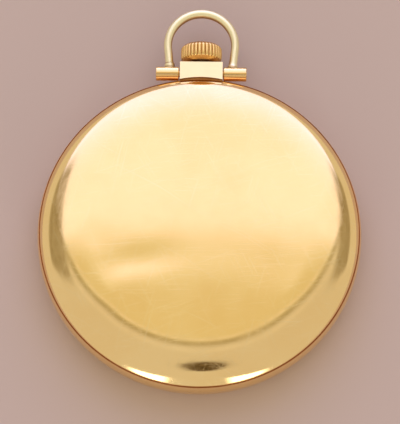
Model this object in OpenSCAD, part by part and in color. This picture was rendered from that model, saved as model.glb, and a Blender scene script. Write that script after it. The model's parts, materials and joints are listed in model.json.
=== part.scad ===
// Open face pocket watch, lying on its crystal with the case back up.
// The frame's origin is the centre of the crystal's outer face. +Z points out of the
// case back and +Y points to twelve o'clock. Sizes are in millimetres.

/* [Case] */
// Outer radius of the case band
case_r = 22.6; // [21.6:0.1:26]
// Height of the seam between the band and the case back
seam_z = 5.6; // [5.5:0.1:6.8]
// Height of the seam between the band and the bezel
bezel_seam_z = 2.4; // [2.2:0.1:2.6]
// How far the band bulges out past the case back's rim
band_bulge = 0.3; // [0.1:0.05:0.6]
// Wall of the case back
cover_wall = 0.55; // [0.4:0.05:0.65]
// Width of the case back's curved shoulder
shoulder_w = 5.3; // [3.5:0.1:6.5]
// Width of the steep rim outside the shoulder
rim_w = 1.9; // [1.2:0.1:2.4]
// Height of the snap lips on the case back and the bezel
lip_h = 0.55; // [0.3:0.05:0.6]

/* [Crystal and dial] */
// Radius of the crystal
crystal_r = 19.3; // [18.9:0.1:19.8]
// Thickness of the crystal
crystal_t = 1.0; // [0.8:0.1:1.1]
// Radius of the dial
dial_r = 18.7; // [17.6:0.1:18.8]
// Thickness of the dial
dial_t = 0.4; // [0.3:0.05:0.5]
// Radius of the small seconds recess
seconds_dial_r = 4.6; // [3.8:0.1:5.2]
// Length of an hour marker
marker_len = 2.4; // [1.5:0.1:3]
// Width of an hour marker
marker_w = 0.5; // [0.3:0.05:0.7]
// Length of the hour hand from its axis
hour_hand_len = 9.4; // [7:0.1:11]
// Length of the minute hand from its axis
minute_hand_len = 14.2; // [11:0.1:14.5]
// Length of the seconds hand from its axis
seconds_hand_len = 3.7; // [2.5:0.1:4.2]

/* [Pendant, bow and crown] */
// Width of the pendant block
pendant_w = 6.0; // [5:0.1:7]
// Thickness of the pendant block
pendant_t = 3.0; // [2.8:0.1:3.4]
// How far the pendant block stands out past the band
pendant_h = 2.3; // [2:0.1:3.2]
// Diameter of the bow's knuckles
knuckle_d = 2.0; // [1.5:0.1:2.2]
// Length of each knuckle
knuckle_len = 3.3; // [2.6:0.1:4]
// Distance of the bow's hinge axis outside the band
bow_axis_out = 0.95; // [0.95:0.05:1.4]
// Radius of the bow's arch, to the middle of its section
bow_r = 4.74; // [4.6:0.02:5.4]
// Diameter of the bow's wire
bow_w = 1.25; // [0.8:0.05:1.4]
// Height of the arch's centre above the hinge axis
bow_rise = 4.2; // [3.6:0.1:5]
// Diameter of the crown
crown_d = 5.8; // [5:0.1:6.2]
// Length of the crown
crown_len = 2.2; // [1.8:0.1:2.6]
// Height of the crown's domed end
crown_dome = 0.55; // [0.2:0.05:0.7]
// Number of flutes round the crown
crown_flutes = 32; // [24:1:40]
// How far the crown pulls out to set the hands
crown_pull = 0.9; // [0.6:0.05:0.9]

/* [Movement] */
// Radius of the main plate
plate_r = 18.9; // [18.7:0.05:18.95]
// Thickness of the main plate
plate_t = 1.6; // [1.5:0.05:1.65]
// Thickness of the barrel and train bridges
bridge_t = 1.3; // [1.1:0.05:1.35]
// Module of the barrel teeth
barrel_m = 0.19; // [0.18:0.005:0.195]
// Module of the centre wheel's teeth
centre_m = 0.15; // [0.14:0.005:0.155]
// Module of the third wheel's teeth
third_m = 0.13; // [0.12:0.005:0.135]
// Module of the fourth wheel's teeth
fourth_m = 0.11; // [0.1:0.005:0.115]
// Module of the motion work's teeth
motion_m = 0.12; // [0.11:0.005:0.125]
// Module of the winding wheels' teeth
winding_m = 0.24; // [0.23:0.005:0.245]
// Radius of the escape wheel at its tooth tips
escape_r = 2.9; // [2.6:0.1:3]
// Outer radius of the balance rim
balance_r = 5.0; // [4.4:0.1:5.1]
// Distance of the small seconds axis below the centre
seconds_y = 7.6; // [7.2:0.1:8]

/* [Hidden] */
$fn = 48;

fine = 96;
small = 24;

// Clearances
fit = 0.03;
run = 0.02;
air = 0.1;
overcut = 1;

// Gear teeth: heights in modules, half widths in pitches
addendum = 0.8;
dedendum = 1.05;
tooth_root = 0.31;
tooth_pitch = 0.21;
tooth_tip = 0.1;

// Case back profile: three arcs that meet tangentially
centre_slope = 4;
shoulder_slope = 20;
rim_slope = 55;
cover_r = case_r - band_bulge;
flat_r = cover_r - shoulder_w - rim_w;
shoulder_r = cover_r - rim_w;
flat_arc = flat_r / sin(centre_slope);
shoulder_arc = shoulder_w / (sin(shoulder_slope) - sin(centre_slope));
rim_arc = rim_w / (sin(rim_slope) - sin(shoulder_slope));
flat_drop = flat_arc * (1 - cos(centre_slope));
shoulder_drop = shoulder_arc * (cos(centre_slope) - cos(shoulder_slope));
rim_drop = rim_arc * (cos(shoulder_slope) - cos(rim_slope));
back_z = seam_z + flat_drop + shoulder_drop + rim_drop;
arc_steps = 12;

// Band and bezel
lip_t = 0.45;
lip_in = 0.55;
seat_r = cover_r - lip_in;
ledge_r = plate_r + 1.5;
bore_r = plate_r + 0.1;
band_half = (seam_z - bezel_seam_z) / 2;
band_arc = (pow(band_half, 2) + pow(band_bulge, 2)) / (2 * band_bulge);
band_turn = asin(band_half / band_arc);
bezel_z = 0.2;
bezel_round = 1.9;
crystal_bevel = 0.35;
rehaut_r = crystal_r - 0.9;

// Dial side heights
dial_z = 2.3;
plate_z = dial_z + dial_t;
plate_top = plate_z + plate_t;
marker_t = 0.22;
hand_t = 0.14;
minute_hand_z = crystal_t + 0.15;
hour_hand_z = minute_hand_z + 0.3;
seconds_hand_z = hour_hand_z + 0.3;

// Stem line
stem_z = 4.35;
stem_r = 0.75;
groove_r = 0.45;
pilot_r = 0.4;
square_w = 1.0;
stem_in_y = 8.8;
square_y = 9.6;
clutch_y = 10.65;
clutch_len = 1.65;
clutch_r = 1.1;
clutch_groove_r = 0.85;
clutch_groove_w = 0.6;
face_tooth = 0.22;
winder_y = clutch_y + clutch_len + 0.05;
winder_len = 1.5;
winder_n = 14;
winder_m = 0.175;
winder_r = winder_n * winder_m / 2 + addendum * winder_m;
groove_y = 15.6;
groove_w = 0.6;

// Pendant line
pendant_y = case_r - 0.9;
pendant_top = case_r + pendant_h;
pendant_scoop_r = 14;
sleeve_r = 1.0;
crown_gap = 0.3;
crown_y = pendant_top + crown_gap;
crown_neck = 0.4;
flute_depth = 0.16;
flute_r = 0.27;
thread_r = 0.63;
bow_y = case_r + bow_axis_out;
bow_z = stem_z;
pin_r = 0.45;
pin_head_r = 0.62;
pin_depth = 1.2;
pin_sink = 0.5;
knuckle_gap = 0.08;
leg_lean = 6;

// Train positions
function polar(d, a) = [d * cos(a), d * sin(a)];
function turn_to(a, b) = atan2(b[1] - a[1], b[0] - a[0]);
barrel_n = 80;
centre_pinion_n = 10;
centre_n = 80;
third_pinion_n = 10;
third_n = 75;
fourth_pinion_n = 10;
fourth_n = 80;
escape_pinion_n = 8;
escape_n = 15;
centre_at = [0, 0];
barrel_at = polar((barrel_n + centre_pinion_n) * barrel_m / 2, 150);
fourth_at = [0, -seconds_y];
centre_third = (centre_n + third_pinion_n) * centre_m / 2;
third_fourth = (third_n + fourth_pinion_n) * third_m / 2;
third_turn = acos((pow(centre_third, 2) + pow(seconds_y, 2) - pow(third_fourth, 2))
                  / (2 * centre_third * seconds_y));
third_at = polar(centre_third, -90 + third_turn);
escape_at = fourth_at + polar((fourth_n + escape_pinion_n) * fourth_m / 2, 232);
lever_turn = 150;
pallet_span = 30;
pallet_at = escape_at + polar(escape_r / cos(pallet_span), lever_turn);
impulse_r = 0.75;
lever_len = 2.45;
balance_at = pallet_at + polar(lever_len + impulse_r + 0.2, lever_turn);

// Feet of the cock and of the pallet bridge
cock_foot_at = polar(15.45, 190);
cock_foot_r = 2.0;
pallet_foot_at = polar(16.7, 239);
pallet_foot_r = 1.1;

// Winding wheels
crown_wheel_n = 30;
ratchet_n = 45;
wheel_gap = (crown_wheel_n + ratchet_n) * winding_m / 2;
crown_wheel_at = [0, barrel_at[1] + sqrt(pow(wheel_gap, 2) - pow(barrel_at[0], 2))];
ratchet_r = ratchet_n * winding_m / 2;
crown_wheel_r = crown_wheel_n * winding_m / 2;

// Motion work
cannon_n = 10;
minute_n = 30;
minute_pinion_n = 8;
hour_n = 32;
intermediate_n = 30;
setting_n = 24;
minute_at = polar((cannon_n + minute_n) * motion_m / 2, 40);
intermediate_at = minute_at + [0, (minute_n + intermediate_n) * motion_m / 2];
setting_at = intermediate_at + polar((intermediate_n + setting_n) * motion_m / 2, 103);

// Heights of the train, as bottom and top
drum_z = [3.05, 4.95];
drum_teeth_z = [4.45, 4.85];
drum_r = barrel_n * barrel_m / 2 - 0.4;
drum_wall = 0.35;
drum_floor = 0.25;
centre_pinion_z = 4.4;
centre_wheel_z = [5.0, 5.2];
third_wheel_z = [4.45, 4.63];
fourth_pinion_z = [4.4, 4.7];
fourth_wheel_z = [4.8, 4.95];
third_pinion_z = [4.97, 5.25];
escape_pinion_z = [4.72, 5.02];
escape_wheel_z = [4.4, 4.55];
fork_z = [4.4, 4.58];
roller_z = [4.72, 4.9];
balance_z = [5.35, 5.75];
spring_z = [5.95, 6.1];
bridge_z = 5.3;
bridge_top = bridge_z + bridge_t;
pocket_z = 5.75;
winding_z = [5.8, 6.18];
cock_z = [6.25, 6.75];
bridge_r = 18.2;
arbor_r = 0.35;
pivot_r = 0.12;
jewel_r = 0.72;
jewel_t = 0.35;
barrel_pivot_r = 0.6;
barrel_hub_r = 1.2;
barrel_square_w = 0.84;
barrel_ring_r = 16.6;
train_ring_r = 15.6;
seconds_arbor_r = 0.17;
cannon_r = 0.57;
hour_tube_r = 0.85;
post_r = 0.25;
centre_end_z = minute_hand_z + 0.15;
hour_wheel_z = [plate_z + 0.08, plate_z + 0.25];
motion_wheel_z = [plate_z + 0.32, plate_z + 0.5];
motion_depth = 0.6;
keyless_depth = 0.45;
train_arbor_z = [plate_top + 0.05, bridge_top - jewel_t - 0.05];
pallet_bridge_z = [4.75, 5.05];
collet_r = 0.5;
impulse_pin_r = 0.1;
balance_screw_n = 12;
stud_r = 0.2;
hairspring_t = 0.07;
stud_out = 3.15;
stud_turn = turn_to(balance_at, cock_foot_at);
stud_at = balance_at + polar(stud_out, stud_turn);
regulator_turn = stud_turn - 155;
face_teeth = 8;
split_y = -1.9;
bridge_gap = 0.3;
balance_room = balance_r + 0.75;

// Keyless levers, which swing evenly about a line square to the stem
lever_arm = 4.2;
lever_offset = lever_arm - sqrt(pow(lever_arm, 2) - pow(crown_pull / 2, 2));
clutch_mid_y = clutch_y + clutch_len / 2;
setting_lever_at = [lever_arm, groove_y + (groove_w + crown_pull) / 2];
yoke_at = [lever_arm, clutch_mid_y - crown_pull / 2];
yoke_spring_at = [lever_arm + 0.3, clutch_mid_y + 2.6];
lever_z = [2.8, 3.05];
lever_pin_r = 0.35;
guide_pin_r = 0.2;

// Click
click_len = 2.35;
click_tip_turn = 80;
click_at = barrel_at + polar(ratchet_r + 1.9, 95);
click_spring_at = click_at + polar(3.15, 171);
click_top = 6.1;

// Screws
screw_head_r = 0.85;
screw_head_h = 0.3;
screw_r = 0.45;
slot_w = 0.2;
barrel_bridge_screws = [polar(17.15, 24), polar(17.15, 68), polar(17.15, 172)];
train_bridge_screws = [polar(17.0, 337), polar(17.0, 278)];
bridge_screws = concat(barrel_bridge_screws, train_bridge_screws);
case_screw_turns = [0, 152];
case_screw_at = plate_r - 0.9;
case_screw_points = [for (t = case_screw_turns) polar(case_screw_at, t)];
screw_depth = 1.2;
clamp_t = 0.3;
hub_screw_r = 0.8;
ratchet_screw_r = 0.3;
ratchet_screw_len = 1.0;

// Points of an arc whose slope runs from s0 to s1, moved inwards by wall
function slope_arc(r0, z0, s0, s1, radius, wall) = [
  for (i = [0 : arc_steps])
    let (s = s0 + (s1 - s0) * i / arc_steps)
      [r0 + radius * (sin(s) - sin(s0)) - wall * sin(s),
       z0 - radius * (cos(s0) - cos(s)) - wall * cos(s)]
];
function back_profile(wall) = concat(
  slope_arc(0, back_z, 0, centre_slope, flat_arc, wall),
  slope_arc(flat_r, back_z - flat_drop, centre_slope, shoulder_slope, shoulder_arc, wall),
  slope_arc(shoulder_r, back_z - flat_drop - shoulder_drop, shoulder_slope, rim_slope,
            rim_arc, wall)
);

// A quarter or part of a circle as points
function arc_points(c, r, a0, a1, n = 8) = [
  for (i = [0 : n]) c + polar(r, a0 + (a1 - a0) * i / n)
];

// Turn of gear b so that its gaps take gear a's teeth
function mesh_turn(at_a, at_b, turn_a, n_a, n_b) =
  let (line = turn_to(at_a, at_b),
       pitch = 360 / n_a,
       lag = (line - turn_a) - pitch * floor((line - turn_a) / pitch))
    line + 180 + 180 / n_b + lag * n_a / n_b;

// Gear outline with straight-sided teeth, the first of them on the +X axis
function gear_points(n, m) =
  let (pitch = 360 / n, r = n * m / 2)
    [for (i = [0 : n - 1])
       for (p = [[-tooth_root, -dedendum], [-tooth_pitch, 0], [-tooth_tip, addendum],
                 [tooth_tip, addendum], [tooth_pitch, 0], [tooth_root, -dedendum]])
         polar(r + p[1] * m, (i + p[0]) * pitch)];

module at(p, z = 0) {
  translate([p[0], p[1], z]) children();
}

module span(z) {
  translate([0, 0, z[0]]) linear_extrude(z[1] - z[0]) children();
}

module gear(n, m, turn, z) {
  rotate([0, 0, turn]) span(z) polygon(gear_points(n, m));
}

// Spoked wheel with teeth
module spoked_wheel(n, m, turn, z, spokes, rim, hub, spoke) {
  inner = n * m / 2 - dedendum * m - rim;
  rotate([0, 0, turn]) span(z) difference() {
    polygon(gear_points(n, m));
    difference() {
      circle(inner);
      circle(hub);
      for (i = [0 : spokes - 1]) rotate(360 / spokes * i)
        translate([0, -spoke / 2]) square([inner + overcut, spoke]);
    }
  }
}

// Arbor with a fine pivot at each end
module arbor(z, r = arbor_r, pivot = pivot_r, pivot_h = 0.35) {
  translate([0, 0, z[0]]) cylinder(h = z[1] - z[0], r = r, $fn = small);
  translate([0, 0, z[0] - pivot_h]) cylinder(h = z[1] - z[0] + 2 * pivot_h, r = pivot, $fn = small);
}

// Slotted screw, its head standing on z = 0 and its shank going down
module screw(head_r, head_h, r, len) {
  difference() {
    union() {
      cylinder(h = head_h, r = head_r, $fn = small);
      translate([0, 0, -len]) cylinder(h = len + head_h / 2, r = r, $fn = small);
    }
    translate([-head_r - overcut, -slot_w / 2, head_h / 2])
      cube([2 * (head_r + overcut), slot_w, head_h]);
  }
}

// Flat spiral strip
module spiral(r0, r1, turns, t, per_turn) {
  n = turns * per_turn;
  inner = [for (i = [0 : n]) polar(r0 + (r1 - r0) * i / n, 360 * i / per_turn)];
  outer = [for (i = [n : -1 : 0]) polar(r0 + t + (r1 - r0) * i / n, 360 * i / per_turn)];
  polygon(concat(inner, outer));
}

// Cylinder along the stem line, from y0 to y1
module along_stem(y0, y1, r) {
  translate([0, y0, stem_z]) rotate([-90, 0, 0]) cylinder(h = y1 - y0, r = r);
}

// ---------------------------------------------------------------- case

// The band's bulging outline, from its lower seam to its upper one
function band_outline() = arc_points([case_r - band_arc, seam_z - band_half], band_arc,
                                     -band_turn, band_turn);

module mid_case() {
  groove_top = bezel_seam_z + lip_h + 0.1;
  color("goldenrod") difference() {
    rotate_extrude($fn = fine) polygon(concat(
      [[bore_r, bezel_seam_z]],
      band_outline(),
      [[seat_r, seam_z], [seat_r, seam_z - lip_h - 0.1],
       [ledge_r, seam_z - lip_h - 0.1], [ledge_r, plate_top], [bore_r, plate_top]]
    ));
    span([bezel_seam_z - overcut, groove_top]) difference() {
      circle(seat_r + fit, $fn = fine);
      circle(seat_r - lip_t - fit, $fn = fine);
    }
    along_stem(bore_r - 2, case_r + 2, sleeve_r);
  }
}

module lip(outer, z) {
  span(z) difference() {
    circle(outer, $fn = fine);
    circle(seat_r - lip_t, $fn = fine);
  }
}

module bezel() {
  outer = cover_r;
  color("goldenrod") {
    rotate_extrude($fn = fine) polygon(concat(
      [[rehaut_r, dial_z - 0.3], [rehaut_r, crystal_t], [crystal_r, crystal_t],
       [crystal_r, bezel_z]],
      arc_points([outer - bezel_round, bezel_z + bezel_round], bezel_round, -90, 0, 12),
      [[outer, bezel_seam_z], [dial_r + fit, bezel_seam_z], [dial_r + fit, dial_z - 0.3]]
    ));
    lip(seat_r, [bezel_seam_z - 0.05, bezel_seam_z + lip_h]);
  }
}

module crystal() {
  color("azure", 0.3) rotate_extrude($fn = fine) polygon([
    [0, 0], [crystal_r - crystal_bevel, 0], [crystal_r, crystal_bevel],
    [crystal_r, crystal_t], [0, crystal_t]
  ]);
}

module back_cover() {
  outer = back_profile(0);
  inner = back_profile(cover_wall);
  lip_in_r = seat_r - lip_t;
  color("gold") {
    rotate_extrude($fn = fine) polygon(concat(
      outer,
      [[lip_in_r, seam_z]],
      [for (i = [len(inner) - 1 : -1 : 0])
         if (inner[i][0] < lip_in_r && inner[i][1] > seam_z) inner[i]]
    ));
    difference() {
      lip(seat_r - fit, [seam_z - lip_h, seam_z + 0.05]);
      translate([-sleeve_r - air, 0, stem_z])
        cube([2 * (sleeve_r + air), case_r, seam_z + overcut - stem_z]);
    }
  }
}

module pendant() {
  color("goldenrod") difference() {
    translate([-pendant_w / 2, pendant_y, stem_z - pendant_t / 2])
      cube([pendant_w, pendant_top - pendant_y, pendant_t]);
    rotate_extrude($fn = fine) polygon(concat(
      [[0, 0], [band_outline()[0][0], 0]],
      band_outline(),
      [[cover_r + air, seam_z], [cover_r + air, back_z], [0, back_z]]
    ));
    translate([0, case_r + 0.05 - pendant_scoop_r, seam_z - 0.2])
      cylinder(h = pendant_t, r = pendant_scoop_r, $fn = fine);
    along_stem(pendant_y - overcut, pendant_top + overcut, sleeve_r);
    for (side = [-1, 1]) translate([side * pendant_w / 2, bow_y, bow_z])
      rotate([0, 90, 0]) cylinder(h = 2 * pin_depth, r = pin_r, center = true);
  }
}

module pendant_sleeve() {
  color("silver") difference() {
    along_stem(bore_r + 0.2, pendant_top, sleeve_r);
    along_stem(bore_r - overcut, pendant_top + overcut, stem_r + run);
  }
}

// ---------------------------------------------------------------- bow, crown and stem

// One straight leg of the bow, leaning inwards from the arch to the knuckle
module bow_leg() {
  top = [bow_r * cos(leg_lean), bow_y + bow_rise - bow_r * sin(leg_lean)];
  translate([top[0], top[1], bow_z]) rotate([90, -leg_lean, 0])
    cylinder(h = (top[1] - bow_y) / cos(leg_lean), r = bow_w / 2);
}

module across(x0, x1, r) {
  translate([x0, bow_y, bow_z]) rotate([0, 90, 0]) cylinder(h = x1 - x0, r = r);
}

module bow() {
  color("gold") difference() {
    union() {
      translate([0, bow_y + bow_rise, bow_z]) rotate(-leg_lean)
        rotate_extrude(angle = 180 + 2 * leg_lean, $fn = fine)
          translate([bow_r, 0]) circle(bow_w / 2);
      bow_leg();
      mirror([1, 0, 0]) bow_leg();
    }
    across(-case_r, case_r, knuckle_d / 2);
  }
}

module bow_knuckle() {
  x0 = pendant_w / 2 + knuckle_gap;
  x1 = x0 + knuckle_len;
  color("gold") difference() {
    across(x0, x1, knuckle_d / 2);
    across(x0 - overcut, x1 + overcut, pin_r + run);
    across(x1 - pin_sink, x1 + overcut, pin_head_r + run);
  }
}

module bow_knuckle_left() {
  mirror([1, 0, 0]) bow_knuckle();
}

module bow_knuckle_right() {
  bow_knuckle();
}

module bow_pin() {
  x1 = pendant_w / 2 + knuckle_gap + knuckle_len - pin_sink + 0.05;
  translate([x1, bow_y, bow_z]) rotate([0, 90, 0])
    screw(pin_head_r, pin_sink - 0.1, pin_r, x1 - pendant_w / 2 + pin_depth - 0.1);
}

module bow_pins() {
  color("goldenrod") {
    bow_pin();
    mirror([1, 0, 0]) bow_pin();
  }
}

module crown() {
  r = crown_d / 2;
  edge = 0.35;
  dome_r = (pow(r - edge, 2) + pow(crown_dome, 2)) / (2 * crown_dome);
  color("gold") difference() {
    translate([0, crown_y, stem_z]) rotate([-90, 0, 0]) rotate_extrude($fn = fine)
      polygon(concat(
        [[0, crown_neck], [sleeve_r + air, crown_neck], [sleeve_r + air, 0], [r - 0.55, 0],
         [r, 0.45]],
        arc_points([r - edge, crown_len - edge], edge, 0, 75, 5),
        arc_points([0, crown_len + crown_dome - dome_r], dome_r,
                   acos((r - edge) / dome_r), 90, 6)
      ));
    for (i = [0 : crown_flutes - 1])
      translate([0, crown_y, stem_z]) rotate([-90, 360 / crown_flutes * i, 0])
        translate([r + flute_r - flute_depth, 0, -overcut])
          cylinder(h = crown_len + overcut * 3, r = flute_r, $fn = small);
    along_stem(crown_y - overcut, crown_y + 1.6, thread_r);
  }
}

module stem() {
  color("silver") difference() {
    union() {
      along_stem(stem_in_y, square_y + 0.1, pilot_r);
      translate([-square_w / 2, square_y, stem_z - square_w / 2])
        cube([square_w, winder_y - square_y, square_w]);
      along_stem(winder_y, crown_y + crown_neck - fit, stem_r);
      along_stem(crown_y, crown_y + 1.55, thread_r);
    }
    difference() {
      along_stem(groove_y, groove_y + groove_w, stem_r + overcut);
      along_stem(groove_y - overcut, groove_y + groove_w + overcut, groove_r);
    }
  }
}

// ---------------------------------------------------------------- dial and hands

module dial() {
  color("ivory") difference() {
    translate([0, 0, dial_z]) cylinder(h = dial_t, r = dial_r, $fn = fine);
    translate([0, 0, dial_z - overcut]) cylinder(h = 3, r = 1.05);
    at(fourth_at, dial_z - overcut) cylinder(h = 3, r = 0.35, $fn = small);
    at(fourth_at, dial_z - overcut) cylinder(h = overcut + 0.12, r = seconds_dial_r);
  }
}

module hour_markers() {
  color("gold") for (h = [0 : 11]) rotate([0, 0, 30 * h])
    for (x = h == 0 ? [-marker_w * 0.8, marker_w * 0.8] : [0])
      translate([x, dial_r - marker_len / 2 - 1.6, dial_z])
        rotate([180, 0, 0]) linear_extrude(marker_t)
          square([marker_w, marker_len], center = true);
}

// Leaf-shaped hand along +Y with a round boss
module hand(len, w, boss, hole, z, tail) {
  difference() {
    span([z, z + hand_t]) {
      polygon([[-w * 0.35, 0], [-w / 2, len * 0.42], [-0.07, len - 0.2], [0, len],
               [0.07, len - 0.2], [w / 2, len * 0.42], [w * 0.35, 0],
               [w * 0.25, -tail], [-w * 0.25, -tail]]);
      circle(boss);
    }
    span([z - overcut, z + overcut]) circle(hole);
  }
}

// The hands show about ten past ten, read from the dial side
module hour_hand() {
  color("gold") rotate([0, 0, -55]) hand(hour_hand_len, 1.3, 1.35, 0.87, hour_hand_z, 1.4);
}

module minute_hand() {
  color("gold") rotate([0, 0, 60]) hand(minute_hand_len, 0.95, 1.0, 0.57, minute_hand_z, 1.8);
}

module seconds_hand() {
  color("gold") at(fourth_at) rotate([0, 0, 210])
    hand(seconds_hand_len, 0.28, 0.4, 0.17, seconds_hand_z, 1.2);
}

// ---------------------------------------------------------------- plate and bridges

module main_plate() {
  recess = [plate_z - overcut, plate_z + motion_depth];
  keyless = [plate_z - overcut, plate_z + keyless_depth];
  color("gold") difference() {
    union() {
      translate([0, 0, plate_z]) cylinder(h = plate_t, r = plate_r, $fn = fine);
      translate([-0.75, stem_in_y - 0.2, plate_top - 0.1])
        cube([1.5, 0.75, bridge_z - plate_top + 0.05]);
    }
    at(barrel_at, drum_z[0] - 0.08) cylinder(h = 4, r = drum_r + 0.25, $fn = fine);
    at(barrel_at, plate_z - overcut) cylinder(h = 4, r = barrel_pivot_r + run, $fn = small);
    // Recess for the motion work and the setting wheels
    span(recess) {
      circle(hour_n * motion_m / 2 + 0.5);
      translate(minute_at) circle(minute_n * motion_m / 2 + 0.25);
      translate(intermediate_at) circle(intermediate_n * motion_m / 2 + 0.25);
      translate(setting_at) circle(setting_n * motion_m / 2 + 0.25);
    }
    for (p = [minute_at, intermediate_at, setting_at])
      at(p, recess[0]) cylinder(h = overcut + 1.3, r = post_r + run, $fn = small);
    // Recess for the keyless work, with the stem's channel above it
    span(keyless) translate([-2.2, clutch_y - 1.3]) square([7.4, 8.05]);
    stem_slots(plate_z - overcut, plate_top + overcut);
    translate([-0.6, groove_y - 0.2, plate_z - overcut])
      cube([1.2, groove_w + crown_pull + 0.4, stem_z - plate_z + overcut]);
    along_stem(winder_y, plate_r + overcut, stem_r + run);
    along_stem(stem_in_y - 0.3, clutch_y, pilot_r + run);
    translate([-0.75, square_y - 0.2, stem_z - 0.75]) cube([1.5, 2, 3]);
    for (p = [setting_lever_at, yoke_at])
      at(p, keyless[0]) cylinder(h = overcut + 1.2, r = lever_pin_r + run, $fn = small);
    at(yoke_spring_at, keyless[0]) cylinder(h = overcut + 1, r = lever_pin_r, $fn = small);
    // Jewel seats and plain holes
    for (p = [third_at, escape_at, pallet_at, balance_at])
      at(p, plate_top - jewel_t) cylinder(h = 3, r = jewel_r, $fn = small);
    at(centre_at, plate_z - overcut) cylinder(h = 4, r = arbor_r + run, $fn = small);
    at(fourth_at, plate_z - overcut) cylinder(h = 4, r = seconds_arbor_r + run, $fn = small);
    for (p = concat(bridge_screws, case_screw_points, [cock_foot_at, pallet_foot_at]))
      at(p, plate_top - screw_depth) cylinder(h = 3, r = screw_r + 0.01, $fn = small);
  }
}

// Slots through the plate and bridge for the sliding pinion and the winding pinion
module stem_slots(z0, z1) {
  translate([-clutch_r - air, clutch_y - crown_pull - air, z0])
    cube([2 * (clutch_r + air), clutch_len + crown_pull + 2 * air, z1 - z0]);
  translate([-winder_r - air, winder_y - air / 2, z0])
    cube([2 * (winder_r + air), winder_len + air, z1 - z0]);
}

// Outline shared by the two large bridges
module bridge_disc(r) {
  difference() {
    circle(r, $fn = fine);
    translate(balance_at) circle(balance_room);
    translate(cock_foot_at) circle(cock_foot_r + bridge_gap);
  }
}

module upper_half() {
  translate([-30, split_y]) square([60, 60]);
}

module lower_right() {
  translate([-4.4, split_y - bridge_gap - 40]) square([60, 40]);
}

module bridge_ring(inner) {
  difference() {
    bridge_disc(bridge_r);
    circle(inner, $fn = fine);
  }
}

module bridge(ring_r) {
  span([bridge_z, bridge_top]) intersection() {
    bridge_disc(bridge_r);
    children();
  }
  span([plate_top, bridge_z]) intersection() {
    bridge_ring(ring_r);
    children();
  }
}

module screw_holes(points, top) {
  for (p = points) {
    at(p, top - screw_head_h) cylinder(h = 3, r = screw_head_r + 0.08, $fn = small);
    at(p, plate_top - overcut) cylinder(h = 5, r = screw_r + 0.01, $fn = small);
  }
}

module upper_jewel_seats(points, top) {
  for (p = points) {
    at(p, top - jewel_t) cylinder(h = 3, r = jewel_r, $fn = small);
    at(p, plate_top) cylinder(h = 4, r = arbor_r + air, $fn = small);
  }
}

module barrel_bridge() {
  color("gold") difference() {
    bridge(barrel_ring_r) upper_half();
    at(barrel_at, pocket_z) cylinder(h = 3, r = ratchet_r + winding_m + air, $fn = fine);
    at(crown_wheel_at, pocket_z) cylinder(h = 3, r = crown_wheel_r + winding_m + air, $fn = fine);
    at(click_at, pocket_z) cylinder(h = 3, r = click_len + 0.35);
    at(click_spring_at, pocket_z) cylinder(h = 3, r = 1.0);
    at(barrel_at, plate_top) cylinder(h = 4, r = barrel_pivot_r + run, $fn = small);
    for (p = [crown_wheel_at, click_at])
      at(p, plate_top) cylinder(h = 4, r = screw_r, $fn = small);
    along_stem(winder_y, bridge_r + overcut, stem_r + air);
    translate([-stem_r - air, winder_y, plate_top - overcut])
      cube([2 * (stem_r + air), bridge_r, overcut + stem_z - plate_top]);
    stem_slots(plate_top - overcut, stem_z + winder_r + air);
    upper_jewel_seats([centre_at], bridge_top);
    screw_holes(barrel_bridge_screws, bridge_top);
    for (p = case_screw_points) at(p, plate_top - overcut)
      cylinder(h = 4, r = screw_head_r + 0.6, $fn = small);
  }
}

module train_bridge() {
  color("gold") difference() {
    bridge(train_ring_r) lower_right();
    upper_jewel_seats([third_at, fourth_at, escape_at], bridge_top);
    screw_holes(train_bridge_screws, bridge_top);
  }
}

// Straight bar from a to b, with the ends left square
module bar_2d(a, b, w) {
  translate(a) rotate(turn_to(a, b)) translate([0, -w / 2]) square([norm(b - a), w]);
}

module pallet_bridge() {
  color("gold") difference() {
    union() {
      span(pallet_bridge_z) {
        bar_2d(pallet_at, pallet_foot_at, 1.4);
        translate(pallet_at) circle(0.95);
        translate(pallet_foot_at) circle(pallet_foot_r);
      }
      span([plate_top, pallet_bridge_z[0]]) translate(pallet_foot_at) circle(pallet_foot_r);
    }
    at(pallet_at, plate_top) cylinder(h = 3, r = pivot_r + run, $fn = small);
    at(pallet_foot_at, plate_top - overcut) cylinder(h = 3, r = screw_r + 0.01, $fn = small);
  }
}

module balance_cock() {
  color("gold") difference() {
    union() {
      span(cock_z) {
        bar_2d(balance_at, cock_foot_at, 2.2);
        translate(balance_at) circle(1.7);
        translate(cock_foot_at) circle(cock_foot_r);
      }
      span([plate_top, cock_z[0]]) translate(cock_foot_at) circle(cock_foot_r);
    }
    upper_jewel_seats([balance_at], cock_z[1]);
    at(stud_at, cock_z[0] - overcut) cylinder(h = 3, r = stud_r, $fn = small);
    screw_holes([cock_foot_at], cock_z[1]);
  }
}

module case_clamps() {
  color("goldenrod") for (t = case_screw_turns)
    rotate(t) translate([0, 0, plate_top]) difference() {
      translate([case_screw_at - 0.9, -0.8, 0]) cube([2.6, 1.6, clamp_t]);
      translate([case_screw_at, 0, -overcut]) cylinder(h = 3, r = screw_r + 0.01, $fn = small);
    }
}

module case_screws() {
  color("steelblue") for (t = case_screw_turns)
    at(polar(case_screw_at, t), plate_top + clamp_t) rotate(t + 25)
      screw(screw_head_r, screw_head_h, screw_r, clamp_t + screw_depth - 0.1);
}

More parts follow.
